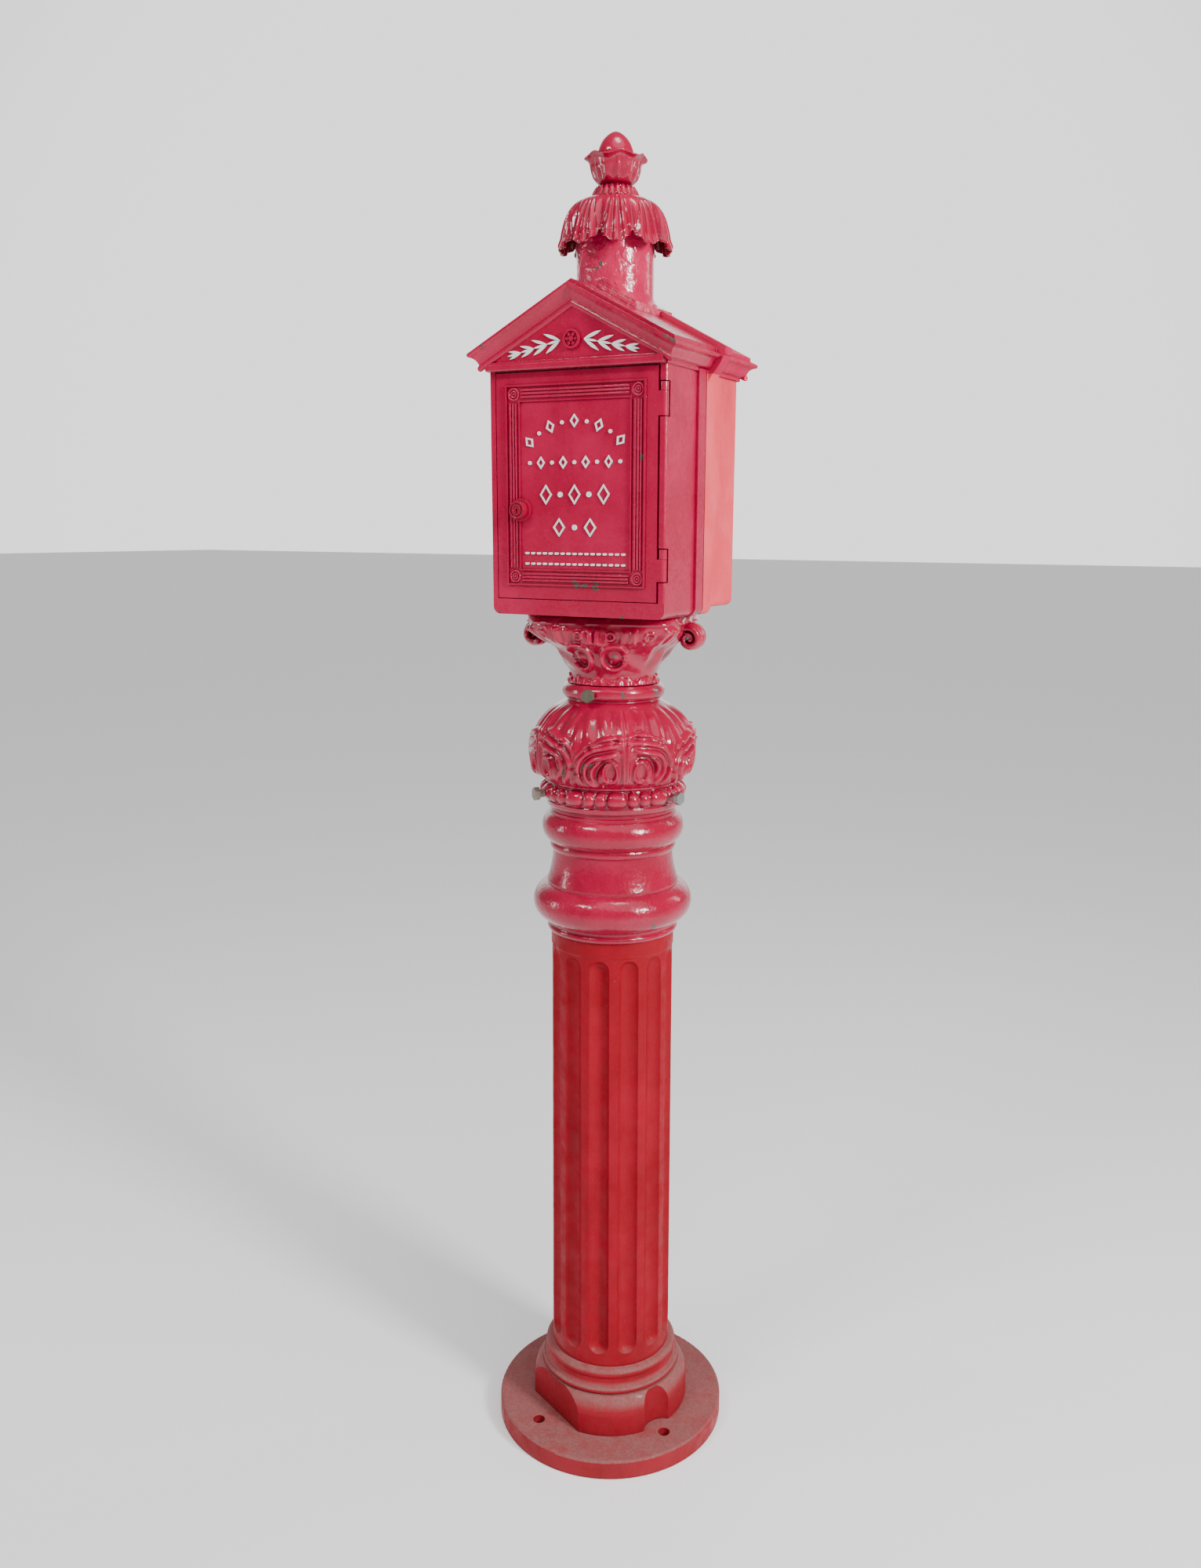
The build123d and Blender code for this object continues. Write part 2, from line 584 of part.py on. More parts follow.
with BuildPart() as case_bolts:
    for x, z in CASE_LUGS:
        rod_y(x, z, (JOINT_Y - 14, REAR_FLANGE_Y + 12), CASE_LUG_R)
        hex_prism(Plane(origin=(x, REAR_FLANGE_Y + 12, z), z_dir=(0, 1, 0)), 11, 5)
finish(case_bolts, "case_bolts")

with BuildPart() as mounting_bolts:
    for x, y in CASE_BOLTS:
        seat = 1475 if y < 0 else 1482
        rod(x, y, (1440, seat), CASE_BOLT_R)
        hex_prism(Plane((x, y, seat)), 18, 8)
finish(mounting_bolts, "mounting_bolts")

with BuildPart() as mounting_nuts:
    for x, y in CASE_BOLTS:
        hex_prism(Plane((x, y, 1446)), 18, 10)
        rod(x, y, (1445, 1457), CASE_BOLT_R, mode=Mode.SUBTRACT)
finish(mounting_nuts, "mounting_nuts")

# ---- chimney, leaf skirt and finial --------------------------------------------------------
CHIMNEY_R = 60.0
CHIMNEY_TOP_Z = 2072.0
STUD_R = 6.0

with BuildPart() as chimney:
    with BuildSketch(Plane.XZ):
        with BuildLine():
            Polyline((0, 1880), (67, 1880), (67, 1936))
            ThreePointArc((67, 1936), (62, 1942.5), (CHIMNEY_R, 1953))
            Polyline((CHIMNEY_R, 1953), (CHIMNEY_R, CHIMNEY_TOP_Z), (0, CHIMNEY_TOP_Z), (0, 1880))
        make_face()
    revolve(axis=Axis.Z)
    for inset in (0.0, 3.5):
        half, rise = SADDLE_HALF - inset, SADDLE_RISE - 3.5 + inset
        pad = [(-half, 1880), (half, 1880), (half, roof_z(half, -rise))]
        pad += [(0, ROOF_APEX + rise), (-half, roof_z(half, -rise))]
        outline_solid(pad, inset - SADDLE_Y, SADDLE_Y - inset)
    rod(0, 0, (1880, 2062), CHIMNEY_R - 7, mode=Mode.SUBTRACT)
    for x, y in SADDLE_BOLTS:
        rod(x, y, (1880, 1964), 9)
    roof_space = [(-100, 1700), (100, 1700), (100, roof_z(100, -PANEL_RISE))]
    roof_space += [(0, ROOF_APEX + PANEL_RISE), (-100, roof_z(100, -PANEL_RISE))]
    outline_solid(roof_space, -100, 100, Mode.SUBTRACT)
    rod(0, 0, (2060, 2074), STUD_R + 0.5, mode=Mode.SUBTRACT)
    for x, y in SADDLE_BOLTS:
        rod(x, y, (1880, 1956), SADDLE_BOLT_R, mode=Mode.SUBTRACT)
finish(chimney, "chimney")

with BuildPart() as saddle_bolts:
    for x, y in SADDLE_BOLTS:
        rod(x, y, (SADDLE_BOSS_Z, 1952), SADDLE_BOLT_R)
        hex_prism(Plane((x, y, SADDLE_BOSS_Z - 6)), 13, 6)
finish(saddle_bolts, "saddle_bolts")

PETALS = 10
PETAL_TURN = 31.0 - 90.0
HEM_Z = 2015.0
with BuildPart() as skirt_cap:
    with BuildSketch(Plane.XZ):
        with BuildLine():
            Polyline((0, CHIMNEY_TOP_Z), (61, CHIMNEY_TOP_Z), (66, 2066), (76, 2040), (81, HEM_Z))
            Polyline((81, HEM_Z), (86.5, HEM_Z))
            Spline((86.5, HEM_Z), (84.5, 2033), (77, 2060), (66, 2079), (40, 2090.6))
            Polyline((40, 2090.6), (37, 2091), (32, 2101), (22, 2102), (0, 2102), (0, CHIMNEY_TOP_Z))
        make_face()
    revolve(axis=Axis.Z)
    with PolarLocations(80, PETALS, start_angle=PETAL_TURN + 180 / PETALS):
        with Locations((0, 0, HEM_Z)):
            Box(30, 14, 18, mode=Mode.SUBTRACT)
        with Locations((0, 0, HEM_Z + 9)):
            Cylinder(7, 30, rotation=(0, 90, 0), mode=Mode.SUBTRACT)
    rod(0, 0, (2060, 2110), STUD_R + 0.5, mode=Mode.SUBTRACT)
finish(skirt_cap, "skirt_cap")

with BuildPart() as finial:
    with BuildSketch(Plane.XZ):
        with BuildLine():
            Polyline((0, 2102), (21.5, 2102), (20.5, 2109), (26, 2114))
            Spline((26, 2114), (34.5, 2125), (38, 2136), (47, 2148))
            Polyline((47, 2148), (47, 2151), (28, 2153))
            Spline((28, 2153), (27, 2161), (20, 2174), (11, 2182.5), (0, 2187))
            Line((0, 2187), (0, 2102))
        make_face()
    revolve(axis=Axis.Z)
    rod(0, 0, (2100, 2140), STUD_R, mode=Mode.SUBTRACT)
finish(finial, "finial")

with BuildPart() as finial_stud:
    rod(0, 0, (2046, 2138), STUD_R)
finish(finial_stud, "finial_stud")

with BuildPart() as stud_nut:
    hex_prism(Plane((0, 0, 2052)), 19, 10)
    rod(0, 0, (2050, 2064), STUD_R, mode=Mode.SUBTRACT)
finish(stud_nut, "stud_nut")

# ---- door and its hinges ---------------------------------------------------------------------
FRAME_OUT = (-122.0, 118.0, 1511.0, 1812.0)
FRAME_WIDTH = 23.0
REED_R = 2.2
FIELD_X = (FRAME_OUT[0] + FRAME_OUT[1]) / 2


def frame_ring(inset, width, rise):
    """Raised rectangular line of the door frame, inset from its outer edge."""
    x0, x1 = FRAME_OUT[0] + inset, FRAME_OUT[1] - inset
    z0, z1 = FRAME_OUT[2] + inset, FRAME_OUT[3] - inset
    with BuildSketch(at_y(CASE_FRONT_Y + 0.5)) as line:
        with Locations(((x0 + x1) / 2, (z0 + z1) / 2)):
            Rectangle(x1 - x0, z1 - z0)
            Rectangle(x1 - x0 - 2 * width, z1 - z0 - 2 * width, mode=Mode.SUBTRACT)
    extrude(line.sketch, amount=rise + 0.5)


with BuildPart() as door:
    block((DOOR_LEFT, DOOR_RIGHT), (CASE_FRONT_Y, DOOR_BACK_Y), (DOOR_LOW, DOOR_HIGH))
    for low, split, _ in (UPPER_HINGE, LOWER_HINGE):
        block((DOOR_RIGHT - 2, HINGE_X), (CASE_FRONT_Y, DOOR_BACK_Y), (low, split))
        rod(HINGE_X, HINGE_Y, (low, split), KNUCKLE_R)
        rod(HINGE_X, HINGE_Y, (low - 1, split + 1), HINGE_PIN_R + RUN_GAP / 2, Mode.SUBTRACT)
    frame_ring(0, 2.6, 3.0)
    frame_ring(FRAME_WIDTH, 2.2, 2.4)
    # three reeds on each side of the frame, stopped by square corner blocks
    corner = FRAME_WIDTH + 4.0
    for step in (1, 2, 3):
        inset = 2.6 + step * (FRAME_WIDTH - 2.6) / 4
        for x in (FRAME_OUT[0] + inset, FRAME_OUT[1] - inset):
            rod(x, CASE_FRONT_Y, (FRAME_OUT[2] + corner, FRAME_OUT[3] - corner), REED_R)
        for z in (FRAME_OUT[2] + inset, FRAME_OUT[3] - inset):
            rod_x(CASE_FRONT_Y, z, (FRAME_OUT[0] + corner, FRAME_OUT[1] - corner), REED_R)
    for x in (FRAME_OUT[0] + 13.5, FRAME_OUT[1] - 13.5):
        for z in (FRAME_OUT[2] + 13.5, FRAME_OUT[3] - 13.5):
            with Locations((x, CASE_FRONT_Y, z)):
                Torus(8.6, 2.0, rotation=(90, 0, 0))
                Torus(4.4, 1.6, rotation=(90, 0, 0))
                Sphere(2.1)
    rod_y(LOCK_X, LOCK_Z, (CASE_FRONT_Y - 4, CASE_FRONT_Y + 1), 17.5)
    rod_y(LOCK_X, LOCK_Z, (CASE_FRONT_Y - 6, DOOR_BACK_Y + 1), 9.2, mode=Mode.SUBTRACT)
finish(door, "door")


def hinge_leaf(split, high):
    """Knuckle with an arm that is screwed to the inside of the case's side wall."""
    rod(HINGE_X, HINGE_Y, (split + 0.4, high), KNUCKLE_R)
    block((INNER_HALF - LEAF_THICK, INNER_HALF), (HINGE_Y, -64), (split + 0.4, high))
    rod(HINGE_X, HINGE_Y, (split - 1, high + 1), HINGE_PIN_R, mode=Mode.SUBTRACT)
    for y in (-98, -78):
        rod_x(y, (split + high) / 2, (130, 150), 2.6, mode=Mode.SUBTRACT)


with BuildPart() as upper_hinge_leaf:
    hinge_leaf(*UPPER_HINGE[1:])
finish(upper_hinge_leaf, "upper_hinge_leaf")

with BuildPart() as lower_hinge_leaf:
    hinge_leaf(*LOWER_HINGE[1:])
finish(lower_hinge_leaf, "lower_hinge_leaf")

with BuildPart() as upper_hinge_pin:
    rod(HINGE_X, HINGE_Y, (UPPER_HINGE[0] + 1, UPPER_HINGE[2]), HINGE_PIN_R)
finish(upper_hinge_pin, "upper_hinge_pin")

with BuildPart() as lower_hinge_pin:
    rod(HINGE_X, HINGE_Y, (LOWER_HINGE[0] + 1, LOWER_HINGE[2]), HINGE_PIN_R)
finish(lower_hinge_pin, "lower_hinge_pin")

with BuildPart() as hinge_screws:
    for _, split, high in (UPPER_HINGE, LOWER_HINGE):
        for y in (-98, -78):
            z = (split + high) / 2
            rod_x(y, z, (INNER_HALF - LEAF_THICK - 1, 148.6), 2.4)
            rod_x(y, z, (INNER_HALF - LEAF_THICK - 3, INNER_HALF - LEAF_THICK), 4.6)
finish(hinge_screws, "hinge_screws")

with BuildPart() as door_gasket:
    with BuildSketch(at_y(LEDGE_Y)):
        with Locations((-1, (1503 + 1817) / 2)):
            Rectangle(256, 318)
            Rectangle(247, 309, mode=Mode.SUBTRACT)
    extrude(amount=LEDGE_Y - DOOR_BACK_Y - 0.1)
finish(door_gasket, "door_gasket")

# ---- raised white ornament on the door, plain shapes in rows ------------------------------
MARK_RISE = 1.6
STROKE = 2.9


def mark_plane(x, z, turn=0.0, y=CASE_FRONT_Y):
    """Plane facing -Y at y for one ornament, turned counter-clockwise as seen from in front."""
    along = (cos(radians(turn)), 0, sin(radians(turn)))
    return Plane(origin=(x, y, z), x_dir=along, z_dir=(0, -1, 0))


def lozenge(x, z, wide, high, turn=0.0):
    """Open diamond."""
    with BuildSketch(mark_plane(x, z, turn)) as diamond:
        Polygon((0, -high / 2), (wide / 2, 0), (0, high / 2), (-wide / 2, 0), align=None)
        inner_high, inner_wide = high - 2.9 * STROKE, wide - 2.9 * STROKE * wide / high
        Polygon(
            (0, -inner_high / 2),
            (inner_wide / 2, 0),
            (0, inner_high / 2),
            (-inner_wide / 2, 0),
            align=None,
            mode=Mode.SUBTRACT,
        )
    extrude(diamond.sketch, amount=MARK_RISE)


def dot(x, z, radius):
    """Round dot."""
    rod_y(x, z, (CASE_FRONT_Y - MARK_RISE, CASE_FRONT_Y), radius)


def dash(x, z, wide, high, turn=0.0):
    """Bar with rounded ends."""
    with BuildSketch(mark_plane(x, z, turn)) as bar:
        RectangleRounded(wide, high, min(wide, high) / 2 - 0.01)
    extrude(bar.sketch, amount=MARK_RISE)


with BuildPart() as door_marks:
    # arched row of diamonds and dots
    ARCH_R, ARCH_STEPS = 118.0, 4
    for step in range(-ARCH_STEPS, ARCH_STEPS + 1):
        turn = -step * 10.4
        x = FIELD_X + ARCH_R * sin(radians(-turn))
        z = 1757 - ARCH_R * (1 - cos(radians(turn)))
        if step % 2:
            dot(x, z, 3.0)
        else:
            lozenge(x, z, 15, 20, turn)
    # straight row of the same shapes
    for step in range(9):
        x = FIELD_X - 78 + step * 19.5
        if step % 2:
            lozenge(x, 1696.5, 14, 19)
        else:
            dot(x, 1696.5, 3.0)
    # two shorter rows of larger shapes
    for step in range(5):
        x = FIELD_X - 50 + step * 25
        if step % 2:
            dot(x, 1649, 4.2)
        else:
            lozenge(x, 1649, 21, 30)
    for x in (-27, 27):
        lozenge(FIELD_X + x, 1600, 21, 28)
    dot(FIELD_X, 1600, 4.2)
    # two fine rows of short bars
    for z in (1560.5, 1544.5):
        for step in range(17):
            dash(FIELD_X - 84 + step * 10.5, z, 7.0, 3.4)
finish(door_marks, "door_marks")

# ---- ornament in the pediment ---------------------------------------------------------------
ROSETTE_Z = 1872.0
with BuildPart() as pediment_rosette:
    rod_y(0, ROSETTE_Z, (TYMPANUM_Y - 2.5, TYMPANUM_Y), 14)
    with BuildSketch(mark_plane(0, ROSETTE_Z, 0, TYMPANUM_Y - 2.5)):
        Circle(14)
        Circle(10.6, mode=Mode.SUBTRACT)
        Circle(3.8)
    extrude(amount=2.5)
    for petal in range(6):
        angle = 60.0 * petal
        x, z = 7.2 * cos(radians(angle)), ROSETTE_Z + 7.2 * sin(radians(angle))
        with BuildSketch(mark_plane(x, z, angle, TYMPANUM_Y - 2.5)):
            Ellipse(2.9, 2.3)
        extrude(amount=1.8)
finish(pediment_rosette, "pediment_rosette")


def leaf(x, z, length, wide, turn):
    """Pointed leaf raised from the tympanum; x, z is its root."""
    with BuildSketch(mark_plane(x, z, turn, TYMPANUM_Y)) as blade:
        with BuildLine():
            ThreePointArc((0, 0), (length / 2, wide / 2), (length, 0))
            ThreePointArc((length, 0), (length / 2, -wide / 2), (0, 0))
        make_face()
    extrude(blade.sketch, amount=2.0)


with BuildPart() as pediment_sprays:
    SPRAY_STEPS = 4
    for side in (-1, 1):
        for step in range(SPRAY_STEPS):
            along = step / (SPRAY_STEPS - 1)
            x = side * (20 + 68 * along)
            z = 1871 - 14 * along
            size = 30 - 8 * along
            spread = 31 - 14 * along
            for lean in (-11 + spread, -11 - spread * 0.8):
                leaf(x, z, size, size * 0.16, lean if side > 0 else 180 - lean)
            leaf(x, z, 24, 3.4, -11 if side > 0 else 191)
finish(pediment_sprays, "pediment_sprays")

# ---- cam lock, shown turned to open ----------------------------------------------------------
with BuildPart() as lock_body:
    rod_y(LOCK_X, LOCK_Z, (-144, CASE_FRONT_Y - 4), 13)
    rod_y(LOCK_X, LOCK_Z, (CASE_FRONT_Y - 4, -108), 9)
    with BuildSketch(at_y(-144)):
        with Locations((LOCK_X, LOCK_Z)):
            Circle(10.8)
            Circle(8.2, mode=Mode.SUBTRACT)
    extrude(amount=-1.6, mode=Mode.SUBTRACT)
    rod_y(LOCK_X, LOCK_Z, (-150, -100), PLUG_R + RUN_GAP / 2, mode=Mode.SUBTRACT)
finish(lock_body, "lock_body")

with BuildPart() as lock_nut:
    hex_prism(Plane(origin=(LOCK_X, DOOR_BACK_Y + 5, LOCK_Z), z_dir=(0, -1, 0)), 26, 5)
    rod_y(LOCK_X, LOCK_Z, (-125, -110), 9, mode=Mode.SUBTRACT)
finish(lock_nut, "lock_nut")

CAM_Y = (-107.6, -105.1)
with BuildPart() as lock_plug:
    rod_y(LOCK_X, LOCK_Z, (-143.2, CAM_Y[0]), PLUG_R)
    rod_y(LOCK_X, LOCK_Z, (CAM_Y[0], -98.6), 4)
    rod_y(LOCK_X, LOCK_Z, (-144, -128), 1.7, mode=Mode.SUBTRACT)
    block((LOCK_X - 0.8, LOCK_X + 0.8), (-144, -128), (LOCK_Z - 5, LOCK_Z), Mode.SUBTRACT)
finish(lock_plug, "lock_plug")

with BuildPart() as lock_cam:
    with BuildSketch(at_y(CAM_Y[1])):
        with Locations((LOCK_X, LOCK_Z)):
            Circle(9)
        with Locations((LOCK_X, LOCK_Z - 17)):
            Rectangle(14, 34)
    extrude(amount=CAM_Y[1] - CAM_Y[0])
    rod_y(LOCK_X, LOCK_Z, (-115, -100), 4, mode=Mode.SUBTRACT)
finish(lock_cam, "lock_cam")

with BuildPart() as cam_nut:
    hex_prism(Plane(origin=(LOCK_X, CAM_Y[1], LOCK_Z), z_dir=(0, 1, 0)), 13, 5)
    rod_y(LOCK_X, LOCK_Z, (-110, -95), 4, mode=Mode.SUBTRACT)
finish(cam_nut, "cam_nut")

# steel wear plate on the back of the ledge, where the cam turns in behind it
with BuildPart() as strike_plate:
    block((-140, -124), (LEDGE_BACK_Y, LEDGE_BACK_Y + 2), (1598, 1654))
    for z in (1606, 1646):
        rod_y(-132, z, (-115, -105), 2.2, mode=Mode.SUBTRACT)
finish(strike_plate, "strike_plate")

with BuildPart() as strike_screws:
    for z in (1606, 1646):
        rod_y(-132, z, (LEDGE_BACK_Y - 4.5, LEDGE_BACK_Y + 2), 2.1)
        rod_y(-132, z, (LEDGE_BACK_Y + 2, LEDGE_BACK_Y + 4), 3.8)
finish(strike_screws, "strike_screws")

# ---- terminals inside the cabinet --------------------------------------------------------------
BOARD_Y = (100.0, 110.0)
BOARD_X, BOARD_Z = 105.0, (1525.0, 1785.0)
POST_ROWS, POST_PITCH = 10, 22.0
POST_SPOTS = [
    (x, BOARD_Z[0] + 31 + row * POST_PITCH) for x in (-75, 75) for row in range(POST_ROWS)
]
BLOCK_SPOTS = [BOARD_Z[0] + 31 + row * POST_PITCH for row in range(POST_ROWS)]

with BuildPart() as terminal_board:
    block((-BOARD_X, BOARD_X), BOARD_Y, BOARD_Z)
    fillet(terminal_board.edges().filter_by(Axis.Y), 6)
    for x in (-90, 90):
        for z in (1545, 1765):
            rod_y(x, z, (90, 120), 3.2, mode=Mode.SUBTRACT)
    for x, z in POST_SPOTS:
        rod_y(x, z, (90, 120), 2.6, mode=Mode.SUBTRACT)
finish(terminal_board, "terminal_board")

with BuildPart() as board_spacers:
    for x in (-90, 90):
        for z in (1545, 1765):
            rod_y(x, z, (BOARD_Y[1], REAR_Y - 5), 8)
            rod_y(x, z, (90, 140), 3.2, mode=Mode.SUBTRACT)
finish(board_spacers, "board_spacers")

with BuildPart() as board_screws:
    for x in (-90, 90):
        for z in (1545, 1765):
            rod_y(x, z, (BOARD_Y[0], 134.5), 3)
            rod_y(x, z, (BOARD_Y[0] - 3.5, BOARD_Y[0]), 5.5)
            block((x - 6, x + 6), (95, 97.8), (z - 0.6, z + 0.6), Mode.SUBTRACT)
finish(board_screws, "board_screws")

with BuildPart() as binding_posts:
    for x, z in POST_SPOTS:
        rod_y(x, z, (BOARD_Y[0] - 22, BOARD_Y[1] + 4), 2.5)
        rod_y(x, z, (BOARD_Y[0] - 6, BOARD_Y[0]), 5.5)
finish(binding_posts, "binding_posts")

with BuildPart() as binding_nuts:
    for x, z in POST_SPOTS:
        rod_y(x, z, (BOARD_Y[0] - 18, BOARD_Y[0] - 10), 6.5)
        rod_y(x, z, (BOARD_Y[0] - 11, BOARD_Y[0] - 7), 5)
        rod_y(x, z, (BOARD_Y[0] - 20, BOARD_Y[0] - 5), 2.5, mode=Mode.SUBTRACT)
finish(binding_nuts, "binding_nuts")

with BuildPart() as fuse_blocks:
    for z in BLOCK_SPOTS:
        block((-42, 42), (BOARD_Y[0] - 12, BOARD_Y[0]), (z - 8, z + 8))
        block((-28, 28), (BOARD_Y[0] - 13, BOARD_Y[0] - 5), (z - 5.5, z + 5.5), Mode.SUBTRACT)
finish(fuse_blocks, "fuse_blocks")

with BuildPart() as fuse_clips:
    for z in BLOCK_SPOTS:
        for x in (-35, 35):
            block((x - 5, x + 5), (BOARD_Y[0] - 14, BOARD_Y[0] - 12), (z - 6, z + 6))
            block((x - 5, x + 5), (BOARD_Y[0] - 24, BOARD_Y[0] - 14), (z + 4.6, z + 6))
            block((x - 5, x + 5), (BOARD_Y[0] - 24, BOARD_Y[0] - 14), (z - 6, z - 4.6))
finish(fuse_clips, "fuse_clips")

with BuildPart() as fuses:
    for z in BLOCK_SPOTS:
        rod_x(BOARD_Y[0] - 19, z, (-43, 43), 4.5)
finish(fuses, "fuses")

BUSH_TOP_Z = 1494.0
with BuildPart() as cable_bushing:
    rod(0, 0, (CASE_FLOOR_Z, 1482), PLATE_HOLE_R - 8.2)
    rod(0, 0, (1482, BUSH_TOP_Z), PLATE_HOLE_R - 3)
    rod(0, 0, (1460, BUSH_TOP_Z + 1), 32, mode=Mode.SUBTRACT)
    fillet(cable_bushing.edges().filter_by(GeomType.CIRCLE).group_by(Axis.Z)[-1], 3)
    block((-60, 60), (-60, JOINT_Y - 0.05), (1470, 1482), Mode.SUBTRACT)
    with Locations((0, 0, 1475)):
        Cylinder(PLATE_HOLE_R - 8.2, 14)
        Cylinder(32, 16, mode=Mode.SUBTRACT)
finish(cable_bushing, "cable_bushing")

with BuildPart() as ground_lug:
    rod_y(120, 1520, (REAR_Y - 8, REAR_Y - 5), 9)
    block((116, 124), (REAR_Y - 8, REAR_Y - 5), (1494, 1514))
    rod_y(120, 1520, (125, 135), 3.2, mode=Mode.SUBTRACT)
finish(ground_lug, "ground_lug")

with BuildPart() as ground_screw:
    rod_y(120, 1520, (REAR_Y - 8, REAR_Y - 3), 3)
    hex_prism(Plane(origin=(120, REAR_Y - 8, 1520), z_dir=(0, -1, 0)), 11, 5)
finish(ground_screw, "ground_screw")
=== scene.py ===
from math import cos, pi, radians, sin, tau

import bmesh
import bpy
import numpy as np
from mathutils import Matrix, Vector


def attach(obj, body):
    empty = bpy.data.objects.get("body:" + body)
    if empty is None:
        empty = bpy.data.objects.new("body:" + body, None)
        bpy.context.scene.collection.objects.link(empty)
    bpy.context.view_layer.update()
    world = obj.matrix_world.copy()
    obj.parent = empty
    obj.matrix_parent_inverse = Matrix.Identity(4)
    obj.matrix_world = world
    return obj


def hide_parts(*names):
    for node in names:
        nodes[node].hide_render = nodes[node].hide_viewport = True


# Looks of the street fire alarm cable box. Metres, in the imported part's frame: the door faces
# -Y, its hinges are on the +X side. Azimuths run from -Y towards +X.

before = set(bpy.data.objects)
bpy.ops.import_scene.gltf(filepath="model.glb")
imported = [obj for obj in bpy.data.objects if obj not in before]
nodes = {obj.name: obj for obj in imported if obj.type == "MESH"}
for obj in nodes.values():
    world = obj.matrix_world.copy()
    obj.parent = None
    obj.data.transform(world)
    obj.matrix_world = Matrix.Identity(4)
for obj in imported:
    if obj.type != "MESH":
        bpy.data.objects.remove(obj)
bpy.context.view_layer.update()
MM = 0.001
# how far the outline of a paint chip strays, in millimetres
RAGGED = 22.0


# ---- shader building ---------------------------------------------------------------------
class Finish:
    """A Principled material put together node by node, in the part's own coordinates."""

    def __init__(self, name):
        self.material = bpy.data.materials.new(name)
        self.material.use_nodes = True
        self.tree = self.material.node_tree
        self.tree.nodes.clear()
        output = self.node("ShaderNodeOutputMaterial")
        self.shader = self.node("ShaderNodeBsdfPrincipled")
        self.tree.links.new(self.shader.outputs[0], output.inputs["Surface"])
        self.place = self.node("ShaderNodeTexCoord").outputs["Object"]

    def node(self, kind, inputs=None, **settings):
        made = self.tree.nodes.new(kind)
        for key, value in settings.items():
            setattr(made, key, value)
        for key, value in (inputs or {}).items():
            self.feed(made.inputs[key], value)
        return made

    def feed(self, socket, value):
        if isinstance(value, bpy.types.NodeSocket):
            self.tree.links.new(value, socket)
        elif isinstance(value, tuple) and socket.type == "RGBA":
            socket.default_value = (*value[:3], 1.0)
        else:
            socket.default_value = value

    def set(self, name, value):
        self.feed(self.shader.inputs[name], value)

    def noise(self, scale, detail=4.0, roughness=0.5, distortion=0.0, stretch=None):
        """Fractal noise with about scale waves per metre."""
        place = self.place
        if stretch:
            place = self.node("ShaderNodeMapping", {"Vector": place, "Scale": stretch}).outputs[0]
        inputs = {"Vector": place, "Scale": scale, "Detail": detail, "Roughness": roughness}
        inputs["Distortion"] = distortion
        return self.node("ShaderNodeTexNoise", inputs).outputs["Fac"]

    def ramp(self, value, low, high, to_low=0.0, to_high=1.0):
        """Smooth step of value from low..high to to_low..to_high."""
        inputs = {0: value, 1: low, 2: high, 3: to_low, 4: to_high}
        made = self.node("ShaderNodeMapRange", inputs, interpolation_type="SMOOTHSTEP")
        return made.outputs[0]

    def math(self, operation, a, b=0.0):
        return self.node("ShaderNodeMath", {0: a, 1: b}, operation=operation).outputs[0]

    def mix(self, share, a, b):
        made = self.node("ShaderNodeMix", data_type="RGBA")
        self.feed(made.inputs[0], share)
        self.feed(made.inputs[6], a)
        self.feed(made.inputs[7], b)
        return made.outputs[2]

    def bump(self, height, depth, normal):
        inputs = {"Height": height, "Distance": depth, "Strength": 1.0, "Normal": normal}
        return self.node("ShaderNodeBump", inputs).outputs[0]

    def soft_edges(self, radius):
        """Normal with the edges of the mesh rounded to a radius in millimetres."""
        return self.node("ShaderNodeBevel", {"Radius": radius * MM}, samples=4).outputs[0]

    def vector(self, operation, a, b):
        made = self.node("ShaderNodeVectorMath", {0: a, 1: b}, operation=operation)
        return made.outputs["Value" if operation == "DISTANCE" else "Vector"]

    def up(self, low, high):
        """1 where the surface faces up, 0 where it is upright."""
        normal = self.node("ShaderNodeNewGeometry").outputs["Normal"]
        z = self.node("ShaderNodeSeparateXYZ", {0: normal}).outputs["Z"]
        return self.ramp(z, low, high)

    def axis(self, name):
        return self.node("ShaderNodeSeparateXYZ", {0: self.place}).outputs[name]

    def spots(self, centres):
        """Ragged patches round the given (x, y, z, radius) in millimetres."""
        scatter = {"Vector": self.place, "Scale": 140.0, "Detail": 3.0}
        wobble = self.node("ShaderNodeTexNoise", scatter).outputs["Color"]
        centred = self.vector("SUBTRACT", wobble, (0.5, 0.5, 0.5))
        shift = self.vector("MULTIPLY", centred, (RAGGED * MM,) * 3)
        ragged = self.vector("ADD", self.place, shift)
        total = 0.0
        for x, y, z, radius in centres:
            away = self.vector("DISTANCE", ragged, (x * MM, y * MM, z * MM))
            patch = self.ramp(away, radius * MM * 0.8, radius * MM, 1.0, 0.0)
            total = self.math("MAXIMUM", total, patch)
        return total


